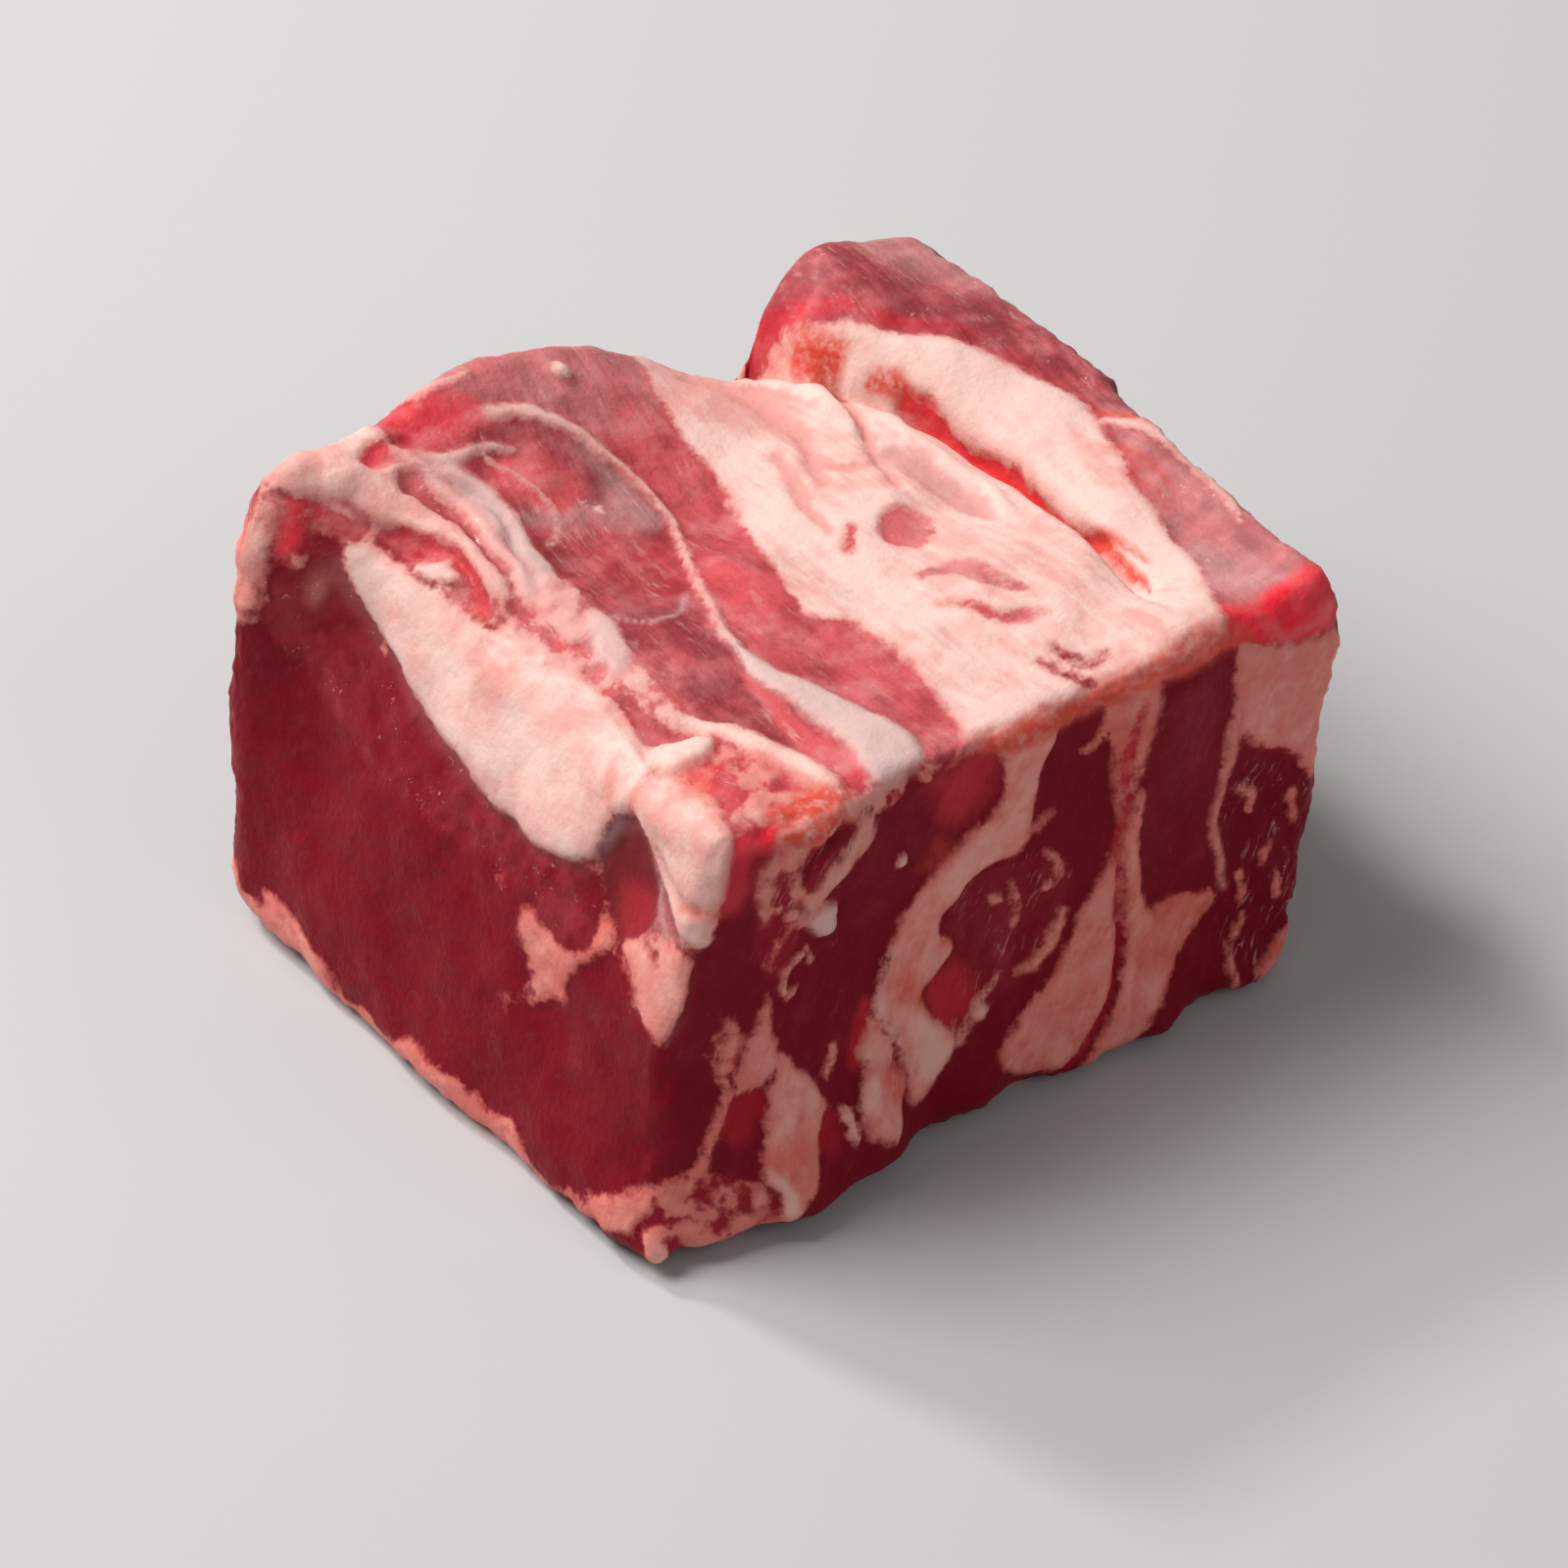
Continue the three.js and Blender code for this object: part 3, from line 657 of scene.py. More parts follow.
        Band(((15, -20.5), (16, -23.2), (18, -23.5)), (0.8, 1.1, 0.7)),
        {FAT: -0.35, DEEP: 0.8, MOTTLE: 0.2}, 0.4),
    "pink blush": Mark(Spot((33.7, -1), (1.2, 5), 0), {CREAM: 0.1}, 1.2),
    "stained front edge": Mark(
        Band(((2, -27.4), (10, -27.2), (20, -27.2), (30, -27.6)), (2.0, 2.4, 2.6, 2.4)),
        {STAIN: 0.8, CREAM: 0.2}, 0.8),
    # Partly an orange stain, partly a painted glow and highlight: stain and cream make the lit edge glow.
    "orange glow of the edge": Mark(
        Band(((-19.2, -26.6), (-16.5, -26.2), (-14, -26.3), (-11.8, -26.9)), (1.6, 3.0, 2.8, 1.4)),
        {FAT: 0.9, CREAM: 0.6, STAIN: 1.0, SILVER: 0, BLOOD: 0}, 0.7),
    "red rim by the lip": Mark(
        Band(((-24.3, -28), (-21, -28.2), (-18.5, -28.3)), (1.2, 1.8, 1.4)),
        {FAT: -0.8, BRIGHT: 0.8, DEEP: 0.3}, 0.5),
    "pale pink at the rim": Mark(
        Band(((-10.5, -28.2), (-7, -28.3), (-4, -28.3)), 1.6), {STAIN: 0.2, CREAM: 0}, 0.8),
}

# The front, x to the right and z up.
FRONT_BASE = {**LEAN_BASE, DEEP: 1.0, FLECKS_AND_GLINTS: 0.06, CREAM: 0.4, BLOOD: 1.0, STREAKS: 0.02}
FRONT_MARKS = {
    "pale rim below the top": Mark(
        Band(((-4, 42), (4, 41), (12, 40.8), (20, 41.2), (28, 41.6)), 1.6), {FAT: 1}),
    "bright lean by the lip": Mark(
        Patch(((-25.3, 42.5), (-22, 41.5), (-23, 38), (-24.8, 35.5), (-26, 37.5))),
        {BRIGHT: 0.35, DEEP: 0.6}, 1.2),
    "left layered lean": Mark(
        Patch(((-22, 42), (-17, 42), (-15, 36), (-17, 31), (-19.5, 27), (-21.5, 27), (-22.5, 33))),
        {FAT: -0.5, MOTTLE: 0.4, DEEP: 0.85, BRIGHT: 0.1, FLECKS_AND_GLINTS: 0.2, STREAKS: 0.3}),
    "outer pale layer": Mark(
        Band(((-20.3, 41.5), (-20.9, 39.5), (-21.5, 37.5), (-21.8, 35.3), (-21.6, 33)),
            (0.6, 1.3, 1.5, 1.1, 0.4)),
        {FAT: 0.5, MOTTLE: 0.35, CREAM: 0.2, SILVER: 0.25, BLOOD: 0.75, STREAKS: 1.0}, 0.5),
    "second pale layer": Mark(
        Patch(((-19.6, 41), (-18.2, 41.5), (-17.6, 40.3), (-18.2, 38), (-17.9, 35.5), (-17.5, 33),
            (-18.7, 32), (-19.7, 33.5), (-19.4, 36), (-19.9, 38.5))),
        {FAT: 0.3, MOTTLE: 0.7, SILVER: 0.12, BLOOD: 0.8, CREAM: 0.3, STREAKS: 1.0}, 0.5),
    "inner pale layer": Mark(
        Patch(((-10.1, 39.8), (-10.4, 37.7), (-12.3, 36.5), (-13, 35.3), (-15.3, 33.5), (-17, 32),
            (-18, 31), (-17.9, 33), (-17, 35.3), (-15.7, 36.9), (-14.3, 38.1), (-12.6, 39), (-11.4, 40.3))),
        {FAT: 0.7, MOTTLE: 0.35, CREAM: 0.4, SILVER: 0.25, BLOOD: 0.65, STREAKS: 1.0, RELIEF: 0.15}, 0.5),
    "pink streaks at the rim": Mark(
        Patch(((-6.4, 42.5), (-6.8, 40.8), (-8.6, 39.9), (-10.7, 40.2), (-12.2, 40), (-13.7, 41.8),
            (-12, 43.5), (-8, 43.5))),
        {FAT: 0.35, MOTTLE: 0.6, STAIN: 0.12, BLOOD: 0.4, STREAKS: 1.0}, 0.5),
    # Painted shade: the lean in the slit is darkened past deep lean towards near black.
    "slit in it": Mark(
        Band(((-13.2, 41.4), (-15, 40.1), (-16, 39), (-17, 37.8), (-18.2, 36.5)),
            (0.3, 0.9, 1.1, 0.8, 0.3)),
        {FAT: -1.3, DEEP: 1.6, RELIEF: -0.6}, 0.35),
    "little ring": Mark(
        Band(((-6.6, 42), (-7.2, 41.3), (-8.2, 41)), 0.4), {FAT: -0.8, BRIGHT: 0.4, RELIEF: -0.2}, 0.3),
    "flesh knot": Mark(
        Patch(((-13.6, 31), (-14.5, 32.6), (-16.4, 32.5), (-17.4, 31), (-15.6, 29), (-14.1, 29))),
        {FAT: 0.9, SILVER: 0.5, CREAM: 0.9, BLOOD: 0.3, FLECKS_AND_GLINTS: 1.0, RELIEF: 0.55}, 0.45),
    "strand below it": Mark(Band(((-18.8, 31.7), (-20, 30), (-21, 27.5)), 0.5), {FAT: 0.7}, 0.4),
    "small pale dot": Mark(Spot((-20, 34.5), (0.6, 0.5)), {FAT: 1, BLOOD: 0.5}, 0.3),
    "squiggle": Mark(
        Band(((-14, 27.4), (-15, 26.5), (-16.3, 26.8), (-17.2, 28), (-18.2, 27.6), (-19.2, 27),
            (-19.7, 25.7), (-19.4, 24.3), (-18.3, 24.1)), 0.6),
        {FAT: 1, CREAM: 0.8, BLOOD: 0.4, RELIEF: 0.25}, 0.3),
    "dark lean band": Mark(
        Patch(((-5, 41), (-7.5, 38.8), (-10.5, 36), (-14, 34), (-13.2, 30), (-17, 25.5), (-18.7, 22),
            (-18.5, 17), (-16, 12), (-13, 13), (-10.8, 18.5), (-9, 22.5), (-6.5, 27.5), (-4, 30.5),
            (-0.5, 32.5), (2.5, 35), (3.7, 40.5))),
        {FAT: -1, DEEP: 0.95, FLECKS_AND_GLINTS: 0.2, RELIEF: -0.2}),
    "white dot": Mark(Spot((-7, 33.3), (0.65, 0.65)), {FAT: 1.5, CREAM: 1, BLOOD: 0.3, RELIEF: 0.35}, 0.3),
    "its red top": Mark(
        Patch(((3.8, 41), (3.7, 36), (1, 33.5), (-1.5, 34.5), (-3, 38), (-3.5, 41))),
        {BRIGHT: 0.3, DEEP: 0.75}, 1.6),
    "slanting fat seam": Mark(
        Patch(((4.3, 42), (4.6, 38), (4, 34.5), (2, 32.3), (-0.5, 31.3), (-3, 30), (-5, 28.3), (-6.5, 25.5),
            (-8, 23), (-9.3, 20.7), (-10, 18.5), (-9, 16.3), (-8, 13.5), (-7, 9.5), (-6.3, 6), (-4.5, 5.8),
            (-2, 8.5), (-1, 10.7), (-3, 13.5), (-4.7, 16.5), (-2.7, 17.5), (-0.5, 18.7), (-0.6, 20.5),
            (-2, 22.5), (-2, 24.3), (-0.3, 25.5), (2.5, 27), (6, 27.3), (8, 30.5), (9, 35), (9.8, 42))),
        {FAT: 1, CREAM: 0.6, BLOOD: 0.9, RELIEF: 0.3}, 0.6),
    "its bright low part": Mark(
        Band(((-5.5, 14), (-4, 11), (-3.5, 8)), (2.5, 4, 3)), {CREAM: 1.0, BLOOD: 0.45}, 1.2),
    "brown beside it": Mark(
        Patch(((-2.5, 33.3), (-3.7, 31.7), (-5, 31), (-3.5, 29.5), (-0.5, 31))), {STAIN: 0.35}, 0.8),
    "its red pocket": Mark(
        Patch(((-7, 20.5), (-8, 19), (-7, 17), (-4.5, 16), (-4.5, 18.3))), {STAIN: 0.6}, 0.7),
    "its white edge": Mark(
        Band(((-7.7, 23.5), (-9.2, 20.5), (-9.7, 18.5), (-9, 16), (-7.7, 13), (-6.6, 9.5)),
            (0.4, 0.7, 1.0, 0.9, 0.7, 0.5)),
        {FAT: 1, CREAM: 1, BLOOD: 0.4, RELIEF: 0.2}, 0.35),
    "its pale cheek": Mark(Spot((1, 29), (4, 1.4), 30), {CREAM: 0.8, BLOOD: 0.7}, 1.0),
    "dark red beside it": Mark(
        Band(((-10.8, 19.5), (-11.5, 17), (-12.5, 13.5)), (0.9, 1.4, 1.0)),
        {FAT: -1, BRIGHT: 0.4, DEEP: 0.8}, 0.5),
    "island of lean": Mark(
        Patch(((-1, 24.5), (3, 26.3), (8, 26.8), (11.5, 22), (9, 16), (3, 12.5), (-2, 11), (-4, 16.5),
            (0, 19.5))),
        {DEEP: 0.85, BRIGHT: 0.04, FLECKS_AND_GLINTS: 0.5, STREAKS: 0.4}, 1.0),
    "island's crimson": Mark(
        Patch(((-2, 17.3), (0.5, 17), (1.5, 14.5), (0.3, 12.3), (-1.7, 11.5), (-3, 14.3), (-3.5, 16.3))),
        {BRIGHT: 0.35, DEEP: 0.8}, 0.8),
    "island's right strand": Mark(
        Band(((10.5, 19.7), (9.5, 17), (7.7, 15.2), (5.7, 15)), (0.7, 1.2, 1.5, 0.7)),
        {FAT: 1, BLOOD: 0.6}, 0.5),
    "island's low strand": Mark(
        Band(((3.7, 15.7), (2, 13.7), (0.8, 12), (-1, 10)), (0.4, 0.9, 0.8, 1.2)),
        {FAT: 1, CREAM: 0.6, BLOOD: 0.6}, 0.4),
    "white fleck": Mark(Spot((2, 12.4), (1.0, 0.7), 50), {FAT: 1, CREAM: 1, BLOOD: 0.3, RELIEF: 0.3}, 0.3),
    "island's upper strand": Mark(
        Band(((5.5, 24.7), (6, 22.5), (5.7, 20)), 0.6), {FAT: 0.6, BLOOD: 0.7}, 0.4),
    "second dot": Mark(Spot((4, 23.2), (0.55, 0.5)), {FAT: 1.3, BLOOD: 0.5, RELIEF: 0.2}, 0.3),
    "island's top strand": Mark(Band(((9, 26.7), (10, 24.8), (8.5, 23)), 0.7), {FAT: 0.8, BLOOD: 0.6}, 0.4),
    "island's flecks": Mark(Band(((8.5, 29.5), (10.3, 30.2)), 0.8), {FAT: 1}, 0.3),
    "island's streak": Mark(Band(((13.5, 36), (15, 36.8), (16.3, 39)), 0.9), {FAT: 1}, 0.3),
    "middle fat": Mark(
        Patch(((12.7, 20.5), (15.7, 24), (16, 18), (16.3, 11), (14.8, 7.5), (11.5, 3.3), (6.5, 2.8),
            (3.3, 6.5), (7, 11), (10.5, 14.5))),
        {FAT: 1, CREAM: 0.4, RELIEF: 0.25}),
    "second middle fat": Mark(
        Patch(((17, 28.5), (18.6, 29.5), (18.7, 20), (21, 14), (23.7, 10), (23, 6.5), (19, 3), (17, 0.8),
            (11.5, 1.2), (15.5, 6), (17.5, 10.5), (17, 17), (16.3, 23))),
        {FAT: 1, CREAM: 0.45, RELIEF: 0.25}),
    "its lower stain": Mark(Patch(((21, 13), (24, 9.5), (22, 6.5), (19, 9))), {STAIN: 0.4}, 1.2),
    "upper strips": Mark(
        Patch(((15.8, 41), (20.6, 41), (20.4, 36.5), (18.5, 32.5), (17.2, 28.5), (16, 27), (16, 34))),
        {FAT: 0.8, CREAM: 0.2}),
    "red in the strips": Mark(
        Band(((19, 38), (17.3, 34), (17, 28.5), (15.8, 23.5)), (0.5, 0.8, 0.7, 0.5)),
        {FAT: -1, BRIGHT: 0.5, DEEP: 0.5}, 0.4),
    "thin red line": Mark(
        Band(((17, 30), (16.3, 25), (16.2, 19), (16.9, 13), (15.8, 8), (13, 4.6), (10.5, 2)), 0.6),
        {FAT: -1, BRIGHT: 0.4, DEEP: 0.8, RELIEF: -0.5}, 0.35),
    "oval of lean": Mark(
        Patch(((28.5, 38), (29, 33), (28.9, 27.5), (28, 23), (27, 18), (24.5, 15), (21.5, 15.5), (19.3, 21),
            (18.6, 28), (19.5, 33.5), (21.5, 38), (25, 39.4))),
        {FAT: -1, DEEP: 0.9, FLECKS_AND_GLINTS: 0.15, RELIEF: 0.1}),
    "grey strip": Mark(
        Band(((29.8, 34), (29.3, 28.5), (28.5, 23.5), (28.3, 18.5), (29, 13)), (0.9, 1.3, 1.1, 1.0, 0.6)),
        {FAT: 0.9, SILVER: 0.35, RELIEF: 0.1}, 0.5),
    "pink cheek": Mark(
        Patch(((30, 40.5), (34, 39), (40, 37.5), (46, 36), (46, 20), (39, 21), (36, 25.5), (32, 28),
            (29.8, 32))),
        {FAT: 0.7, CREAM: 0.3, BLOOD: 0.6, STAIN: 0.3, FLECKS_AND_GLINTS: 0.8}),
    "marbled lean": Mark(
        Patch(((30, 27), (36, 24), (46, 18), (46, -2), (30, -2), (29, 10), (28.5, 20))),
        {DEEP: 1.15, FLECKS_AND_GLINTS: 1.0, STREAKS: 0.5}),
    "right nub": Mark(
        Patch(((37, 6.5), (36.5, 1), (32, 0.8), (33.5, 3.5))), {FAT: 0.7, CREAM: 0.3, RELIEF: 0.4}, 0.6),
    "seam under the oval": Mark(
        Patch(((21.3, 14), (26, 13.7), (28.3, 12), (26, 9.5), (23.5, 8))), {FAT: 0.6, STAIN: 0.4}),
    "streaks left of the wedge": Mark(
        Patch(((-25.3, 24.3), (-26.5, 22), (-26.5, 18), (-24.7, 18), (-24, 21))),
        {FAT: 0.15, MOTTLE: 0.6, STREAKS: 1.0, DEEP: 0.6}, 0.7),
    "fat wedge": Mark(
        Patch(((-21.3, 25), (-20.7, 21.5), (-20.2, 17.5), (-21.5, 16.3), (-25.2, 15.6), (-24.2, 19),
            (-23, 22))),
        {FAT: 0.8, CREAM: 0.3, BLOOD: 0.75, STREAKS: 1.0}, 0.6),
    "tan patch": Mark(
        Patch(((-20.3, 18), (-18.5, 15.8), (-17, 14), (-16.5, 11.7), (-17.2, 9.3), (-18, 7.5), (-18.7, 5.3),
            (-20, 4), (-22.3, 2.3), (-23.2, 5.3), (-24, 7.5), (-23.5, 10), (-22.5, 12.5), (-21.8, 15))),
        {FAT: 0.8, CREAM: 0.5, BLOOD: 0.85, RELIEF: 0.3}),
    "its red low part": Mark(
        Patch(((-22, 10), (-19.5, 9.5), (-18.5, 7.5), (-20, 5), (-22, 6.5), (-23, 8.5))),
        {STAIN: 0.35, CREAM: 0.3}, 1.2),
    "its white bits": Mark(
        Band(((-23.4, 8.2), (-22.6, 6), (-21.6, 3.5)), (0.8, 1.0, 1.3)),
        {FAT: 1, CREAM: 1, BLOOD: 0.3, RELIEF: 0.25}, 0.4),
    "red oval": Mark(
        Patch(((-24.6, 15.7), (-23.5, 16), (-22, 15), (-22.5, 13), (-23.5, 12), (-24.5, 11), (-26.3, 11),
            (-27, 13.5))),
        {FAT: -1, BRIGHT: 0.25, DEEP: 0.85, RELIEF: -0.2}, 0.5),
    "left strand": Mark(
        Band(((-27, 20.5), (-25.7, 17), (-27, 14), (-28.7, 11), (-31, 8), (-32, 5)),
            (0.6, 0.9, 1.0, 1.0, 1.1, 0.8)),
        {FAT: 1, RELIEF: 0.2}, 0.4),
    "ring": Mark(Spot((-29.5, 6), (1.8, 1.5)), {FAT: 1, RELIEF: 0.25}, 0.4),
    "ring's eye": Mark(Spot((-29.5, 6), (0.9, 0.7)), {FAT: -1, BRIGHT: 0.5}, 0.3),
    "mottled foot": Mark(
        Patch(((-35, 6), (-31, 9), (-27, 8.3), (-24.5, 7), (-22.8, 4.5), (-21.5, 1.5), (-21, -1.5),
            (-36, -1.5))),
        {FAT: 0.05, MOTTLE: 1.0, CREAM: 0.1, BLOOD: 0.8, BRIGHT: 0.12, DEEP: 0.8}),
    "nub": Mark(Spot((-35.5, 2), (2.2, 2.2)), {FAT: 0.9, CREAM: 0.5, BLOOD: 0.5, RELIEF: 0.4}, 0.6),
    "upper nodule": Mark(
        Patch(((-10.6, 18), (-9.3, 16.2), (-8.2, 13.7), (-9.3, 12.3), (-12, 13.3), (-11.6, 16))),
        {FAT: 0.7, MOTTLE: 0.4, CREAM: 0.5, BLOOD: 0.7, RELIEF: 0.2}, 0.5),
    "nodule": Mark(
        Patch(((-10, 12.7), (-7.7, 11), (-7, 8.7), (-8.3, 7.3), (-8.5, 6), (-9.5, 4.7), (-11.5, 5.3),
            (-13.5, 7.5), (-13.7, 9.5), (-12.5, 12))),
        {FAT: 0.7, CREAM: 0.4, BLOOD: 0.8, RELIEF: 0.45}, 0.6),
    "nodule's pale cheek": Mark(
        Patch(((-12, 12), (-10.7, 11), (-11, 9), (-12, 8.3), (-13.3, 9.7))), {CREAM: 1, BLOOD: 0.5}, 0.7),
    "nodule's red": Mark(
        Patch(((-10, 12), (-7.8, 10.6), (-8, 8), (-10, 8.3), (-10.4, 10))), {STAIN: 0.8, BLOOD: 0.5}, 0.7),
    "white nub": Mark(
        Band(((-15, 10.4), (-14.6, 9), (-14.4, 7.4)), 0.9),
        {FAT: 1, CREAM: 1, BLOOD: 0.3, RELIEF: 0.4}, 0.4),
    "red hollow": Mark(
        Patch(((-17, 10.9), (-15.7, 10.5), (-15.3, 8), (-16.3, 6.5), (-17.8, 7.7))),
        {FAT: -1, BRIGHT: 0.25, DEEP: 0.9, RELIEF: -0.4}, 0.6),
    "low pale fleck": Mark(
        Band(((-14.5, 15.8), (-14.6, 14.8), (-15.4, 14)), 0.7), {FAT: 1, BLOOD: 0.6}, 0.3),
    "lip on the front": Mark(
        Patch(((-23.5, 45), (-24.3, 42.3), (-25, 40.5), (-25.5, 38.5), (-26, 36.5), (-26.3, 34),
            (-27.3, 32.2), (-33, 32), (-33, 45))),
        {FAT: 1, CREAM: 0.6, BLOOD: 0.12, RELIEF: 0.3}, 0.5),
    "red fold of the lip": Mark(
        Band(((-26, 36), (-28, 35.8), (-30, 36)), (1.0, 1.4, 1.0)), {STAIN: 0.6}, 0.6),
    "fleck at the oval's side": Mark(Band(((31, 23), (32.2, 22), (32.5, 20)), 0.9), {FAT: 1}, 0.3),
    "second fleck": Mark(Band(((36.5, 21), (36.7, 17)), 0.9), {FAT: 1}, 0.3),
    "third fleck": Mark(Spot((33.5, 15), (0.7, 1.0)), {FAT: 1}, 0.3),
    "fourth fleck": Mark(Band(((30.5, 14), (31, 11)), 0.8), {FAT: 1}, 0.3),
    "fifth fleck": Mark(Band(((35, 12.5), (34.5, 10)), 0.8), {FAT: 1}, 0.3),
    "sixth fleck": Mark(Band(((31.5, 9), (30.3, 7)), 0.7), {FAT: 1}, 0.3),
    "seventh fleck": Mark(Band(((29, 6), (29.3, 3.5), (30, 1)), 0.8), {FAT: 1}, 0.3),
    "front stain": Mark(
        Band(((3, 41), (12, 40.7), (20, 41), (31, 41.4)), (1.8, 2.1, 2.1, 2.0)), {STAIN: 1.0}, 0.8),
    "red rim by the lip": Mark(
        Band(((-25, 42.4), (-22, 42.3), (-19, 42)), (1.6, 2.4, 1.6)),
        {FAT: -1, BRIGHT: 0.8, DEEP: 0.5, BLOOD: 0.4}, 0.7),
    # Partly an orange stain, partly a painted glow and highlight: stain and cream make the lit rim glow.
    "orange glow of the rim": Mark(
        Band(((-19.6, 42.2), (-17.5, 42), (-15.5, 41.8), (-13.4, 41.7)), (1.6, 3.2, 2.8, 1.2)),
        {FAT: 0.8, STAIN: 1.0, CREAM: 0.5, BLOOD: 0}, 0.7),
    "right front stain": Mark(
        Band(((30, 41), (36, 40), (44, 38.5)), (1.8, 2.8, 3.2)),
        {FAT: -0.9, BRIGHT: 1.0, DEEP: 0.1, BLOOD: 0, FLECKS_AND_GLINTS: 0}, 0.8),
}

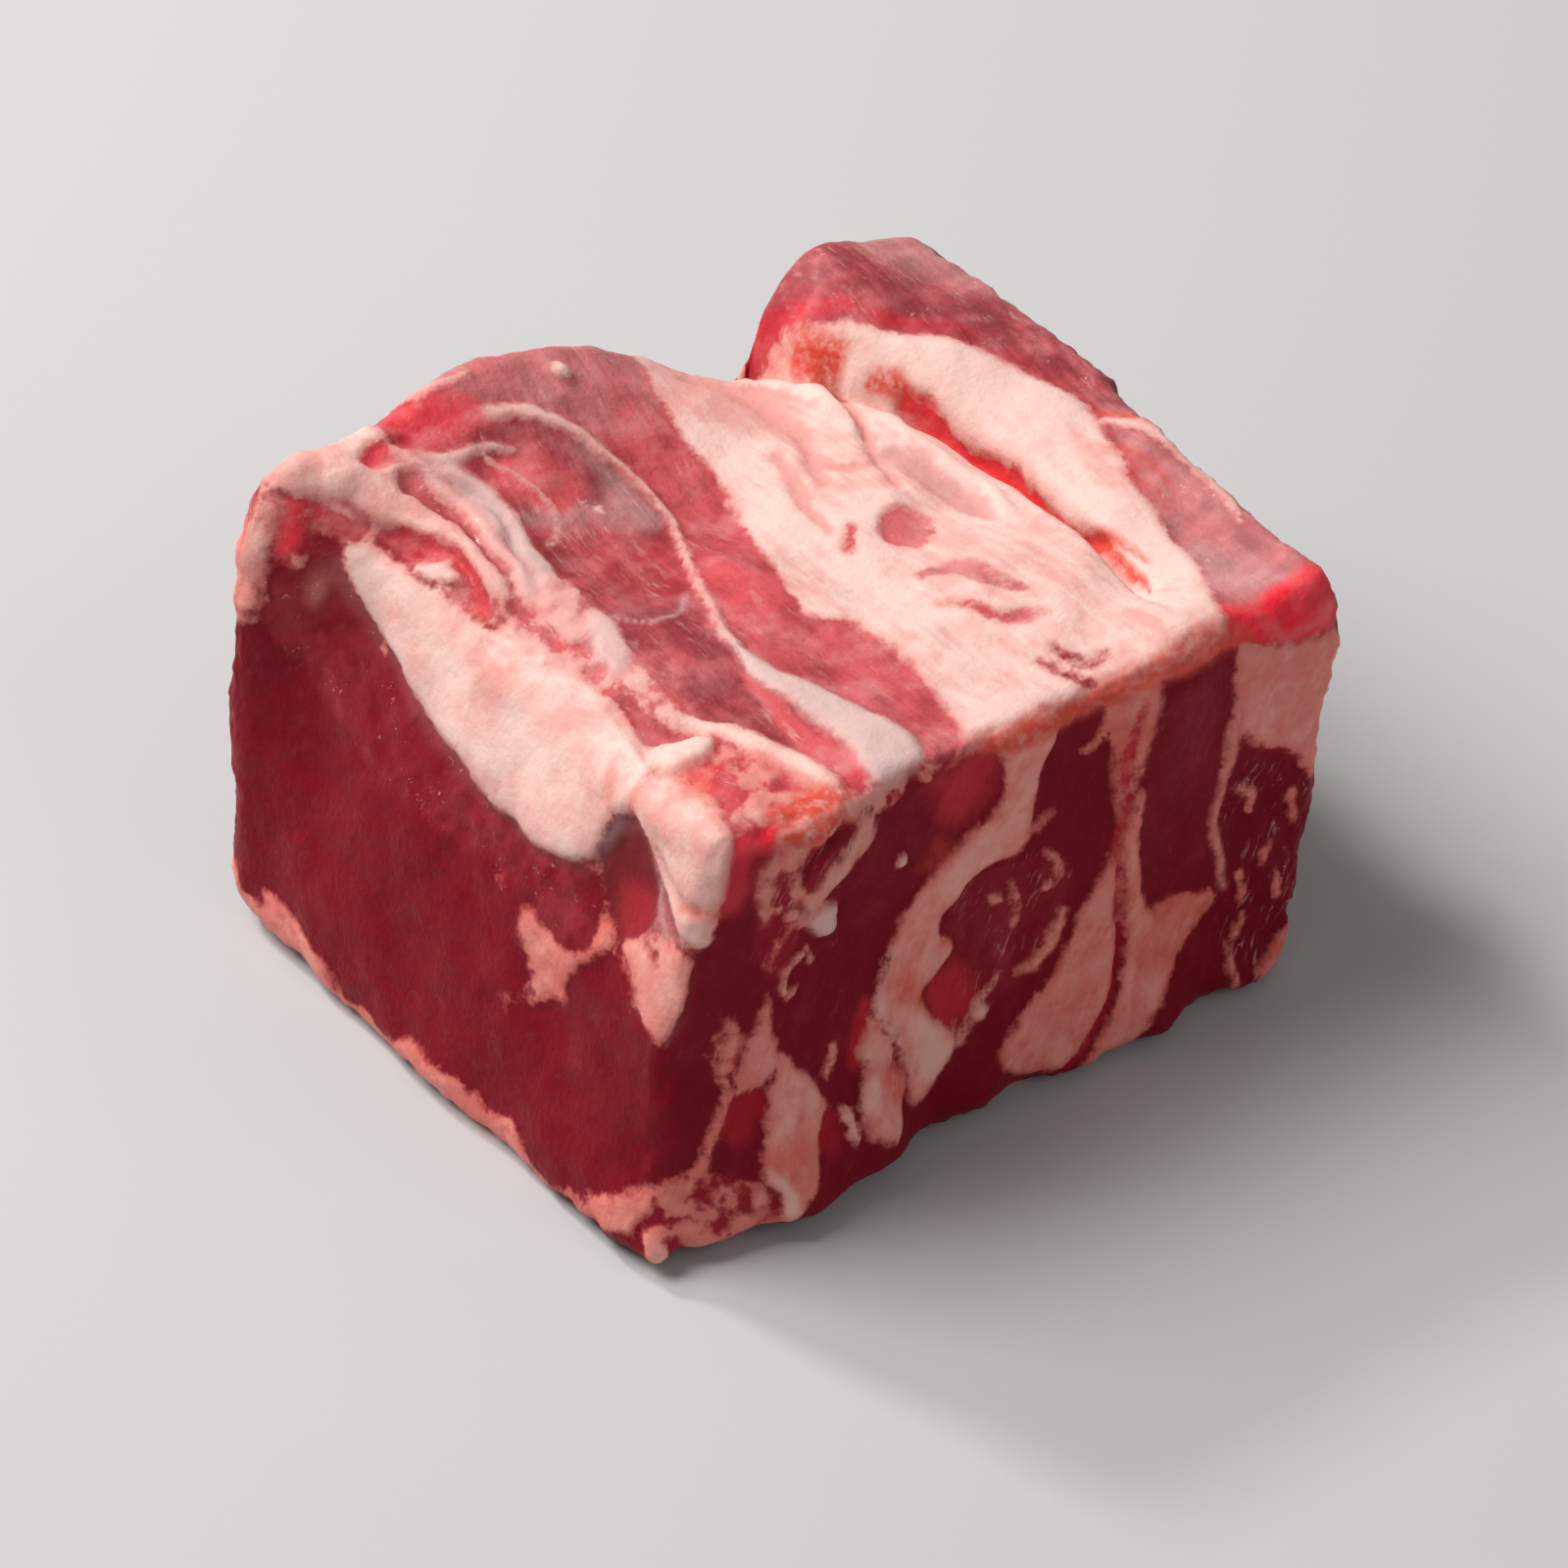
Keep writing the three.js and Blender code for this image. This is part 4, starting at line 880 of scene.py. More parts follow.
# The left side, y to the back and z up.
LEFT_BASE = {**LEAN_BASE, DEEP: 1.0, FLECKS_AND_GLINTS: 0.01, BLOOD: 0.9, STREAKS: 0.02}
LEFT_MARKS = {
    "lean behind the rind": Mark(
        Patch(((34, 43), (30, 42.5), (26, 39), (20, 35.5), (12, 33), (0, 31.5), (-8, 32), (-13, 30),
            (-13, 24), (0, 25), (16, 25), (30, 29), (35, 36))),
        {FAT: -1, DEEP: 0.8, FLECKS_AND_GLINTS: 0.9}),
    "red at its top": Mark(
        Band(((32.2, 45), (32.2, 42.5), (32.1, 40.5)), (1.2, 1.8, 1.0)),
        {FAT: -1, BRIGHT: 0.8, DEEP: 0.3, BLOOD: 0.3}, 0.7),
    "brown by the knob": Mark(
        Patch(((31.3, 45), (30.4, 43.2), (28.9, 42.3), (27.8, 42.2), (26.7, 43), (26, 44), (26.5, 47),
            (30, 47))),
        {FAT: -0.2, MOTTLE: 0.8, BRIGHT: 0.1, DEEP: 0.5, BLOOD: 0.3, FLECKS_AND_GLINTS: 0.7}, 0.5),
    "haze in that lean": Mark(Spot((29.2, 37.2), (0.8, 1.8)), {SILVER: 0.35}, 0.7),
    "its white fleck": Mark(Spot((31, 40), (0.5, 0.8)), {FAT: 1, BLOOD: 0.4}, 0.4),
    "its second fleck": Mark(Spot((21.4, 35.1), (0.4, 0.5)), {FAT: 1, BLOOD: 0.4}, 0.3),
    "pale back corner": Mark(
        Patch(((44, 47), (33.2, 47), (33, 43.2), (33, 41), (32.8, 38.5), (33, 36), (34.3, 33), (37, 29),
            (44, 27))),
        {FAT: 0.6, MOTTLE: 0.5, CREAM: 0.2, BLOOD: 0.35, RELIEF: 0.2}),
    "its tan fat": Mark(
        Patch(((35.7, 42.7), (34.2, 42.3), (33.7, 40), (34, 38.5), (35.3, 38.7), (36, 41))),
        {FAT: 1, SILVER: 0.4, CREAM: 0.4}, 0.6),
    "rind": Mark(
        Patch(((28, 41.7), (27, 42.7), (25, 42.6), (23.7, 42.1), (21.7, 42), (19.4, 42), (17.5, 42.2),
            (14, 41.9), (12, 41.9), (10.4, 42.3), (8.5, 43.5), (7, 48), (-18, 48), (-15, 42), (-14.5, 38),
            (-13, 34.5), (-10, 31.5), (-5, 30.5), (3, 31), (11, 32.5), (17.6, 34.6), (20.3, 35.7),
            (22.6, 36.6), (24.7, 37.9), (26.5, 39.6))),
        {FAT: 1, CREAM: 0.65, BLOOD: 0, RELIEF: 0.4}, 0.5),
    "red above the rind": Mark(
        Band(((26.5, 43.7), (25, 43.8), (22.5, 43.4), (20.8, 43.6)), (0.8, 1.8, 1.8, 1.4)),
        {FAT: -1.6, MOTTLE: 0.2, BRIGHT: 0.2, DEEP: 0.5, BLOOD: 0, RELIEF: -0.4}, 0.4),
    "bead above the rind": Mark(
        Band(((20.4, 42.7), (18.6, 42.9), (17.2, 43.2)), (0.9, 1.7, 1.0)),
        {FAT: 1, CREAM: 1, BLOOD: 0, RELIEF: 0.5}, 0.4),
    "red below the bead": Mark(
        Band(((16.6, 43.4), (14.5, 42.7), (12.4, 42.4)), (1.0, 1.4, 0.9)),
        {FAT: -1, MOTTLE: 0.3, BRIGHT: 0.3, DEEP: 0.4, BLOOD: 0, RELIEF: -0.3}, 0.4),
    "pink stain by the lip": Mark(
        Band(((-10.5, 41), (-11.7, 39.7), (-12.5, 38)), (1.2, 1.8, 1.2)), {STAIN: 0.22, CREAM: 0}, 0.9),
    # Painted shade: grey laid along the foot of the rind.
    "rind's grey foot": Mark(
        Band(((28, 39.5), (23, 36.8), (17, 34.7), (10, 32.6), (2, 31.5), (-6, 31.2), (-11, 32.5)), 2.2),
        {GREY_AND_SHADE: 0.5, SILVER: 0.1, CREAM: 0.4}, 1.4),
    "rind's blushes": Mark(Spot((7.6, 39.8), (2.4, 1.2), 10), {STAIN: 0.2, CREAM: 0.3}, 1.2),
    "its long blush": Mark(Spot((-0.6, 40.2), (3.4, 1.1), 5), {STAIN: 0.14, CREAM: 0.3}, 1.2),
    "upper blush": Mark(Spot((15, 41), (4, 1.8), -20), {STAIN: 0.14}, 1.8),
    "lower blush": Mark(Spot((-8, 39), (3, 1.6), 25), {STAIN: 0.18}, 1.6),
    "mauve skin between lobe and lip": Mark(
        Patch(((-15.5, 39), (-18.5, 36.7), (-20.7, 35), (-23, 34), (-26, 32.7), (-23.5, 30.8),
            (-20.5, 29.5), (-19, 32), (-18, 35))),
        {FAT: -0.5, SILVER: 0.3, DEEP: 0.6, BLOOD: 0.5, STREAKS: 0.6}, 0.5),
    "purple lobe": Mark(
        Patch(((-15, 39), (-12.5, 36.7), (-11.4, 34), (-12, 31.3), (-13.7, 29.3), (-17, 27.3), (-20, 28.7),
            (-19.7, 31), (-18.9, 33.5), (-17.3, 36.7))),
        {FAT: -1, DEEP: 1.2, SILVER: 0.06, FLECKS_AND_GLINTS: 0.1, STREAKS: 0.0, RELIEF: -0.15}, 0.5),
    "its crimson foot": Mark(
        Patch(((-15, 31.5), (-18.3, 32.5), (-19.5, 30), (-17.5, 28), (-15.5, 29))), {BRIGHT: 0.22}, 1.0),
    "its grey top": Mark(
        Band(((-16.8, 38), (-14.7, 37.7), (-12.6, 35.5), (-11.8, 33)), (1.0, 1.6, 1.3, 0.8)),
        {GREY_AND_SHADE: 0.55, SILVER: 0.12}, 0.8),
    "silver streak": Mark(
        Band(((-19.5, 32.8), (-20.8, 31.6), (-22.7, 30.6)), (0.5, 0.9, 0.6)), {SILVER: 0.75}, 0.4),
    "second silver streak": Mark(
        Band(((-18.3, 35.8), (-21, 34.3), (-23.5, 33.2), (-25, 32.7)), (0.5, 0.7, 0.7, 0.4)),
        {SILVER: 0.55}, 0.4),
    "dark line by it": Mark(
        Band(((-18.6, 34.7), (-21.7, 33), (-24, 32)), (0.4, 0.5, 0.3)), {DEEP: 1.2, RELIEF: -0.2}, 0.3),
    "lip of fat": Mark(
        Patch(((-14.5, 41), (-15, 48), (-34, 48), (-32, 32.5), (-27, 32.2), (-25, 33), (-23, 34),
            (-20.5, 35.3), (-18.5, 36.8), (-16.5, 38.7))),
        {FAT: 1, CREAM: 0.5, BLOOD: 0.12, RELIEF: 0.5}, 0.5),
    # Painted shadow in the fold: grey and a little stain darken it above a shallow dip.
    "fold in the lip": Mark(
        Band(((-19, 37.8), (-20.7, 36.9), (-22.7, 36.2), (-24.5, 35.8), (-26, 35.8)),
            (0.3, 0.6, 0.7, 0.7, 0.5)),
        {GREY_AND_SHADE: 0.4, STAIN: 0.25, RELIEF: -0.4}, 0.4),
    "red fold": Mark(
        Band(((-24.7, 35.8), (-26.5, 36), (-29, 36)), (0.8, 1.5, 1.2)), {STAIN: 0.6, RELIEF: -0.2}, 0.6),
    # Partly silver skin, partly painted shade: blood, grey and deep lean darken it.
    "silver triangle": Mark(
        Patch(((-17, 27.4), (-20, 28.9), (-23, 30.8), (-26, 31.9), (-30, 31.6), (-30, 28), (-28, 25),
            (-26, 22), (-23.5, 23), (-20, 25.2))),
        {FAT: 0.6, MOTTLE: 0.5, CREAM: 0.3, GREY_AND_SHADE: 0.15, BLOOD: 0.6, DEEP: 0.8, STREAKS: 0.6}, 0.7),
    "slit in the triangle": Mark(
        Band(((-20.3, 28.7), (-21.3, 28.4), (-22.5, 28.3)), 0.5), {FAT: -0.8, DEEP: 1}, 0.35),
    # Painted shadow: the lean below the triangle is darkened past deep lean towards near black.
    "dark below the triangle": Mark(
        Patch(((-16, 26), (-20, 24), (-24, 21), (-26, 20), (-24, 12), (-12, 18))),
        {FAT: -1, DEEP: 1.15}, 1.5),
    "fat at the foot": Mark(Patch(((40, 8), (33, 6), (28, -2), (42, -2))), {FAT: 0.8, CREAM: 0.4}),
}


@dataclass(frozen=True)
class FatSheets:
    """Slanting sheets of fat through the meat, by place and width. The hidden faces are cut across them."""

    normal: tuple[float, float, float] = (0.89, 0.05, -0.45)
    sheets: Points = (
        (-44, 5), (-33, 3.2), (-24, 1.0), (-13, 5.5), (-4, 1.2), (4, 4.6), (12, 1.4), (21, 4.0), (31, 2.6),
    )
    bend: Swell = Swell(4.5, 22, 2)
    ripple: Swell = Swell(1.6, 6, 3, 90)
    thinned: float = 1.2
    thinning: Swell = Swell(1.4, 14, 2, 200)
    grown: float = 0.8
    along_counts: float = 0.15

    def depth(self, points: np.ndarray, noise: SpaceNoise) -> np.ndarray:
        """Depth inside the sheets: half a sheet's width, less the way across the sheets to its middle.

        Args:
            points: Places in the block, in millimetres.
            noise: Bends and thins the sheets.

        Returns:
            Millimetres inside the nearest sheet of fat, negative in the lean between.
        """
        across = points @ np.array(self.normal) + self.bend.at(points, noise) + self.ripple.at(points, noise)
        thinner = self.thinned + self.thinning.at(points, noise)
        depths = [width / 2 - thinner - np.abs(across - at) for at, width in self.sheets]
        return np.max(depths, axis=0) + self.grown


SHEETS = FatSheets()


@dataclass(frozen=True)
class Face:
    """One face of the block: axis and side, drawing axes, what is on it and whether it cuts the sheets."""

    name: str
    axis: int
    side: int
    drawn: tuple[int, int]
    base: dict[Coat, float]
    marks: dict[str, Mark]
    sheets: bool = False


FACES = (
    Face("top", 2, 1, (0, 1), LEAN_BASE, TOP_MARKS),
    Face("front", 1, -1, (0, 2), FRONT_BASE, FRONT_MARKS),
    Face("left", 0, -1, (1, 2), LEFT_BASE, LEFT_MARKS, sheets=True),
    Face("back", 1, 1, (0, 2), {**FRONT_BASE, FLECKS_AND_GLINTS: 0.8}, {}, sheets=True),
    Face("right", 0, 1, (1, 2), {**FRONT_BASE, FLECKS_AND_GLINTS: 0.9}, {}, sheets=True),
    Face("under", 2, -1, (0, 1), FRONT_BASE, {}, sheets=True),
)


@dataclass(frozen=True)
class Lump:
    """A rounded lump or hollow in a face: its place, its two reaches, its turn in degrees and its height."""

    at: tuple[float, float]
    reach: tuple[float, float]
    turn: float
    height: float

    def height_at(self, a: np.ndarray, b: np.ndarray) -> np.ndarray:
        """Height at places: the height times e to the minus squared way, in reaches.

        Args:
            a: First coordinate on the face.
            b: Second coordinate on the face.

        Returns:
            Millimetres.
        """
        turn = math.radians(self.turn)
        da, db = a - self.at[0], b - self.at[1]
        along = (da * math.cos(turn) + db * math.sin(turn)) / self.reach[0]
        across = (db * math.cos(turn) - da * math.sin(turn)) / self.reach[1]
        return self.height * np.exp(-(along**2 + across**2))


@dataclass(frozen=True)
class Waves:
    """Slow unevenness of a face: its height, its wavelength and the depth at which the waves are cut."""

    height: float
    length: float
    depth: float = 0.0


@dataclass(frozen=True)
class BlockForm:
    """The chunk's form, by its solid's sizes: a rounded box, warped to eight corners, with relief.

    Sizes are in millimetres. A Span is where a smooth step starts and ends: in millimetres for heights and
    lengths, and from −1 to 1 across the box for the others.
    """

    corners: tuple[tuple[tuple[int, ...], tuple[float, ...]], ...] = (
        ((-1, -1, -1), (-36.5, -26.5, 0)), ((1, -1, -1), (37.5, -28, 0)),
        ((-1, 1, -1), (-38, 35, 0)), ((1, 1, -1), (41, 36, 0)),
        ((-1, -1, 1), (-24.5, -27, 43.6)), ((1, -1, 1), (41.5, -27.5, 40)),
        ((-1, 1, 1), (-37, 38.5, 43.5)), ((1, 1, 1), (43.5, 39, 39)),
    )
    half_size: tuple[float, float, float] = (38, 33, 22)
    knife_radius: float = 2.2
    rind_extra_radius: float = 3.0
    back_extra_radius: float = 2.4
    foot_extra_radius: float = 1.2
    bow_depth: float = 8.2
    bow_front: float = -27
    bow_deepest: float = 21
    bow_back: float = 36
    bow_heights: Span = (4, 44)
    bow_fades: Span = (0.45, -1)
    crease: Points = ((26, -24), (27.5, -14), (28.5, -6), (28, 3), (26.5, 13), (21, 28), (18.5, 40))
    crease_column: float = 0.62
    crease_heights: Span = (0.3, 1)
    groove_depth: float = 1.8
    groove_reach: float = 0.8
    groove_starts: Span = (-24, -12)
    slab_rise: tuple[float, float] = (0.8, 7.8)
    slab_slope: tuple[float, float] = (3.6, 1.6)
    slab_length: Span = (-14, 38)
    slab_fall: float = 0.45
    slab_falls: Span = (8, 18)
    back_starts: Span = (0.4, 1)
    rind_ends: Span = (-1, -0.5)
    scallop_height: float = 0.8
    scallop_length: float = 10.1
    scallop_start: float = 1
    scallop_fades: Span = (7, 0)
    foot_rises: Span = (0, 6)
    top_lumps: tuple[Lump, ...] = (
        Lump((-9, 38), (21, 13), 0, 8.8), Lump((12, 38), (9, 9), 0, -2.4), Lump((20, 38), (5.5, 9), 0, -6),
        Lump((-34, 37), (7, 7), 0, 5),
        Lump((14, -10), (17, 8), -60, 1.2), Lump((27, -24), (9, 6), 0, 1.6), Lump((4, 4), (22, 3), -72, -0.9),
        Lump((-14, 4), (26, 4), -66, 0.8), Lump((-26, 10), (20, 3), -68, -0.8),
        Lump((43, -14), (9, 16), 0, 2.2),
    )
    front_lumps: tuple[Lump, ...] = (
        Lump((-19, 0), (15, 15), 0, 6), Lump((10, 2), (9, 8), 0, 1), Lump((20, 0), (9, 6), 0, 2.2),
        Lump((-17, 42), (10, 12), 0, 1.6), Lump((16, 24), (20, 5), 62, 1), Lump((2, 22), (22, 3), 62, -1),
        Lump((31, 22), (18, 4), 75, -0.8), Lump((-35, 1.5), (2.4, 2.6), 0, 2.6),
    )
    left_lumps: tuple[Lump, ...] = (
        Lump((4, 30), (26, 12), -4, 2.6), Lump((30, 30), (7, 12), 0, -1.6), Lump((-18, 32), (6, 5), 20, -1.5),
        Lump((-20, 41.5), (7, 2.6), 0, 0.9),
    )
    back_lumps: tuple[Lump, ...] = (
        Lump((-20, 22), (16, 14), 0, 3), Lump((20, 34), (4.5, 26), 0, -4), Lump((30, 18), (14, 16), 0, 2),
    )
    right_lumps: tuple[Lump, ...] = (Lump((-8, 20), (16, 14), 0, 2), Lump((22, 22), (12, 14), 0, -1.5))
    top_waves: Waves = Waves(0.45, 17)
    front_waves: Waves = Waves(0.5, 13)
    left_waves: Waves = Waves(0.4, 15)
    back_waves: Waves = Waves(0.9, 16, 7)
    right_waves: Waves = Waves(0.9, 16, 5)
    wave_ways: tuple[tuple[float, float, float], ...] = (
        (1, 0.37, -0.2), (-0.31, 0.83, 0.3), (0.45, -0.5, 0.9), (1.02, -1.36, 0.85),
    )
    wave_starts: tuple[float, ...] = (1.3, 0.4, 2.1, 5)
    wave_shares: tuple[float, ...] = (1, 1, 1, 0.6)
    waves_together: float = 2.4

    def uneven(self, waves: Waves, x: np.ndarray, y: np.ndarray, z: np.ndarray) -> np.ndarray:
        """Sum of crossed sine waves, each with its way, start and share, scaled to the waves' height."""
        k = 2 * math.pi / waves.length
        total = sum(
            share * np.sin(k * (a * x + b * y + c * z) + start)
            for (a, b, c), start, share in zip(self.wave_ways, self.wave_starts, self.wave_shares)
        )
        return waves.height * total / self.waves_together

    def crease_x(self, y: np.ndarray) -> np.ndarray:
        """x of the crease at y, on straight lines between its points."""
        points = np.array(self.crease)
        return np.interp(y, points[:, 1], points[:, 0])

    def slab(self, x: np.ndarray, y: np.ndarray) -> np.ndarray:
        """Height of the crease and the slab: the rise times 1 − e^(−way/slope), less a bell-shaped groove."""
        across = x - self.crease_x(y)
        back = smooth(*self.slab_length, y)
        rise = self.slab_rise[0] + (self.slab_rise[1] - self.slab_rise[0]) * back
        slope = self.slab_slope[0] + (self.slab_slope[1] - self.slab_slope[0]) * back
        fall = 1 - self.slab_fall * smooth(*self.slab_falls, across) * back
        groove = self.groove_depth * np.exp(-((across / self.groove_reach) ** 2))
        groove = groove * smooth(*self.groove_starts, y)
        return rise * (1 - np.exp(-np.maximum(across, 0) / slope)) * fall - groove

    def rounded(self, q: np.ndarray) -> tuple[np.ndarray, np.ndarray]:
        """Rounds the box's edges: each point is drawn to a ball that rolls inside them.

        Args:
            q: Points of the box's surface, each coordinate from −1 to 1.

        Returns:
            The rounded points, again from −1 to 1, and the way each one faces.
        """
        u, v, w = q.T
        back = smooth(*self.back_starts, v)
        radius = (
            self.knife_radius
            + self.rind_extra_radius * smooth(0, -1, u) * smooth(0, 1, w) * smooth(*self.rind_ends, v)
            + self.back_extra_radius * back
            + self.foot_extra_radius * smooth(0, -1, w) * (1 - back)
        )[:, None]
        half = np.array(self.half_size)
        inner = np.clip(q * half, radius - half, half - radius)
        facing = q * half - inner
        facing /= np.linalg.norm(facing, axis=1, keepdims=True)
        return (inner + radius * facing) / half, facing

    def warped(self, q: np.ndarray) -> np.ndarray:
        """Blends the eight corners, each by its share at the point: the product of (1 ± coordinate) / 2."""
        total = np.zeros_like(q)
        for side, at in self.corners:
            share = ((1 + q * np.array(side)) / 2).prod(1)
            total += share[:, None] * np.array(at)
        return total

    def surface(self, q: np.ndarray) -> tuple[np.ndarray, np.ndarray]:
        """The meat's surface over the box: rounded, warped, bowed by a quarter cosine, then raised by relief.

        Args:
            q: Points of the box's surface, each coordinate from −1 to 1.

        Returns:
            Points in millimetres, and the way the rounded box faces there.
        """
        place, facing = self.rounded(q)
        point = self.warped(place)
        u, v, w = place.T
        column = self.warped(np.stack([np.full(len(q), self.crease_column), v, w], 1))
        left_of = u < self.crease_column
        near = np.where(left_of, (u + 1) / (self.crease_column + 1), (1 - u) / (1 - self.crease_column))
        shift = self.crease_x(column[:, 1]) - column[:, 0]
        point[:, 0] += shift * smooth(0, 1, near) * smooth(*self.crease_heights, w)
        y = point[:, 1]
        end = np.where(y < self.bow_deepest, self.bow_front, self.bow_back)
        way = np.clip((y - self.bow_deepest) / (end - self.bow_deepest), 0, 1)
        bow = self.bow_depth * np.cos(math.pi / 2 * way)
        point[:, 0] += bow * smooth(*self.bow_heights, point[:, 2]) * smooth(*self.bow_fades, u)
        return self.raised(point, facing), facing

    def raised(self, point: np.ndarray, facing: np.ndarray) -> np.ndarray:
        """Moves each point out by its faces' lumps and waves, each face by its share of the way it faces."""
        x, y, z = point.T
        heights = [
            sum(lump.height_at(*places) for lump in lumps)
            for lumps, places in (
                (self.top_lumps, (x, y)), (self.front_lumps, (x, z)), (self.left_lumps, (y, z)),
                (self.back_lumps, (x, z)), (self.right_lumps, (y, z)),
            )
        ]
        top, front, left, back, right = heights
        level = np.zeros_like(x)
        scallop = self.scallop_height * np.sin(2 * math.pi * x / self.scallop_length + self.scallop_start)
        top = top + self.slab(x, y) + self.uneven(self.top_waves, x, y, level)
        front = front + self.uneven(self.front_waves, x, level, z) * smooth(*self.foot_rises, z)
        front = front + scallop * smooth(*self.scallop_fades, z)
        left = left + self.uneven(self.left_waves, level, y, z)
        back = back + self.uneven(self.back_waves, x, level + self.back_waves.depth, z)
        right = right + self.uneven(self.right_waves, level + self.right_waves.depth, y, z)
        out, inward = np.maximum(facing, 0), np.maximum(-facing, 0)
        raised = point.copy()
        raised[:, 0] += right * out[:, 0] - left * inward[:, 0]
        raised[:, 1] += back * out[:, 1] - front * inward[:, 1]
        raised[:, 2] = np.maximum(z + top * out[:, 2], 0)
        return raised


def places(count: int, gathers: tuple[tuple[float, float, float], ...], samples: int = 4001) -> np.ndarray:
    """Places from −1 to 1 whose density is 1 plus a bell at each gather.

    Args:
        count: Cells between them.
        gathers: Place, strength and reach of each bell.
        samples: Where the density is summed up.

    Returns:
        count + 1 places.
    """
    t = np.linspace(-1, 1, samples)
    density = 1 + sum(strength * np.exp(-(((t - at) / reach) ** 2)) for at, strength, reach in gathers)
    total = np.concatenate([[0], np.cumsum((density[1:] + density[:-1]) / 2)])
    return np.interp(np.linspace(0, total[-1], count + 1), total, t)


@dataclass
class MeatBlock:
    """The chunk of meat: one closed skin over the solid's form, with fine relief and coats as attributes."""

    form: BlockForm = BlockForm()
    cells: tuple[int, int, int] = (152, 130, 86)
    edge_gather: tuple[float, float] = (1.6, 0.05)
    crease_gather: tuple[float, float] = (1.4, 0.05)
    seed: int = 23
    wobbles: tuple[Swell, ...] = (Swell(0.55, 5.0), Swell(0.2, 1.6))
    wobble_shift: float = 61.7
    mottling: Swell = Swell(1.3, 1.9, 2, 7)
    face_sharpness: float = 4
    least_weight: float = 0.004
    fat_step: Span = (-0.6, 0.7)
    fat_stands: float = 0.28
    silver_stands: float = 0.08
    lean_grain: Swell = Swell(0.13, 1.5, 3, fall=0.7)
    grain_counts: tuple[float, float, float] = (1.0, 0.45, 0.7)
    lean_swell: Swell = Swell(0.10, 3.2, shift=11)
    fat_swell: Swell = Swell(0.12, 3.4, 3, 53, 0.5)
    fat_grain: Swell = Swell(0.03, 0.9)
    fleck_lumps: Swell = Swell(0.22, 1.9, 2, 19)
    ragged_edge: Swell = Swell(0.35, 2.2, 3, 71)
    slow_swell: Swell = Swell(0.22, 7, 2, 31)
    edge_turns: Span = (0.995, 0.8)
    foot_heights: Span = (0, 1.2)

    def box_grid(self) -> tuple[np.ndarray, np.ndarray]:
        """Lays a grid over the box's six sides, with shared points along the edges.

        Returns:
            Points from −1 to 1, and the four corners of each cell, facing outwards.
        """
        counts = np.array(self.cells)
        edges = tuple((side, *self.edge_gather) for side in (-1, 1))
        crease = ((self.form.crease_column, *self.crease_gather),)
        columns = [places(n, edges + (crease if axis == 0 else ())) for axis, n in enumerate(self.cells)]
        quads = []
        for axis in range(3):
            second, third = (axis + 1) % 3, (axis + 2) % 3
            i, j = np.meshgrid(np.arange(counts[second]), np.arange(counts[third]), indexing="ij")
            for end in (0, counts[axis]):
                corners = np.zeros((i.size, 4, 3), int)
                corners[:, :, axis] = end
                corners[:, :, second] = i.reshape(-1, 1) + np.array([0, 1, 1, 0])
                corners[:, :, third] = j.reshape(-1, 1) + np.array([0, 0, 1, 1])
                quads.append(corners if end else corners[:, ::-1])
        cells = np.concatenate(quads)
        keys = (cells[..., 0] * (counts[1] + 1) + cells[..., 1]) * (counts[2] + 1) + cells[..., 2]
        known, corner_of = np.unique(keys, return_inverse=True)
        steps = np.stack([known // ((counts[1] + 1) * (counts[2] + 1)),
                          known // (counts[2] + 1) % (counts[1] + 1), known % (counts[2] + 1)], 1)
        q = np.stack([columns[axis][steps[:, axis]] for axis in range(3)], 1)
        return q, corner_of.reshape(-1, 4)

    @staticmethod
    def normals(points: np.ndarray, quads: np.ndarray) -> np.ndarray:
        """Way out at each point: the sum of the cross products of its cells' diagonals, at length one."""
        a, b, c, d = (points[quads[:, k]] for k in range(4))
        flat = np.cross(c - a, d - b)
        total = np.stack([
            sum(np.bincount(quads[:, k], flat[:, axis], len(points)) for k in range(4)) for axis in range(3)
        ], 1)
        return total / np.linalg.norm(total, axis=1, keepdims=True)

    def wobbled(self, points: np.ndarray, noise: SpaceNoise) -> np.ndarray:
        """Shifts the drawing places by noise in two lengths, so that the marks' edges run as flesh does."""
        shifts = [
            sum(wobble.at(points + self.wobble_shift * (axis + 1), noise) for wobble in self.wobbles)
            for axis in range(3)
        ]
        return points + np.stack(shifts, 1)

    def coats(self, points: np.ndarray, facing: np.ndarray, noise: SpaceNoise) -> dict[Coat, np.ndarray]:
        """Paints every face and blends them round the edges by how much the surface faces each.

        Args:
            points: The surface, in millimetres.
            facing: The way the rounded box faces at each point.
            noise: Bends the marks.

        Returns:
            Each coat's value at each point.
        """
        drawn_at = self.wobbled(points, noise)
        weights = np.stack([np.maximum(face.side * facing[:, face.axis], 0) for face in FACES], 1)
        weights = weights**self.face_sharpness
        weights /= weights.sum(1, keepdims=True)
        total = {coat: np.zeros(len(points)) for coat in Coat}
        for face, weight in zip(FACES, weights.T):
            on = weight > self.least_weight
            layers = {coat: np.full(on.sum(), face.base.get(coat, 0), float) for coat in Coat}
            if face.sheets:
                layers[FAT] = SHEETS.depth(points[on], noise)
            for mark in face.marks.values():
                mark.lay(drawn_at[on][:, face.drawn], layers)
            for coat, layer in layers.items():
                total[coat][on] += weight[on] * layer
            LOG.info("face %s: %d marks on %d points", face.name, len(face.marks), on.sum())
        mottled = total[FAT] + total[MOTTLE] * self.mottling.at(points, noise)
        total[FAT] = np.clip(mottled, -DEEPEST, DEEPEST)
        return total

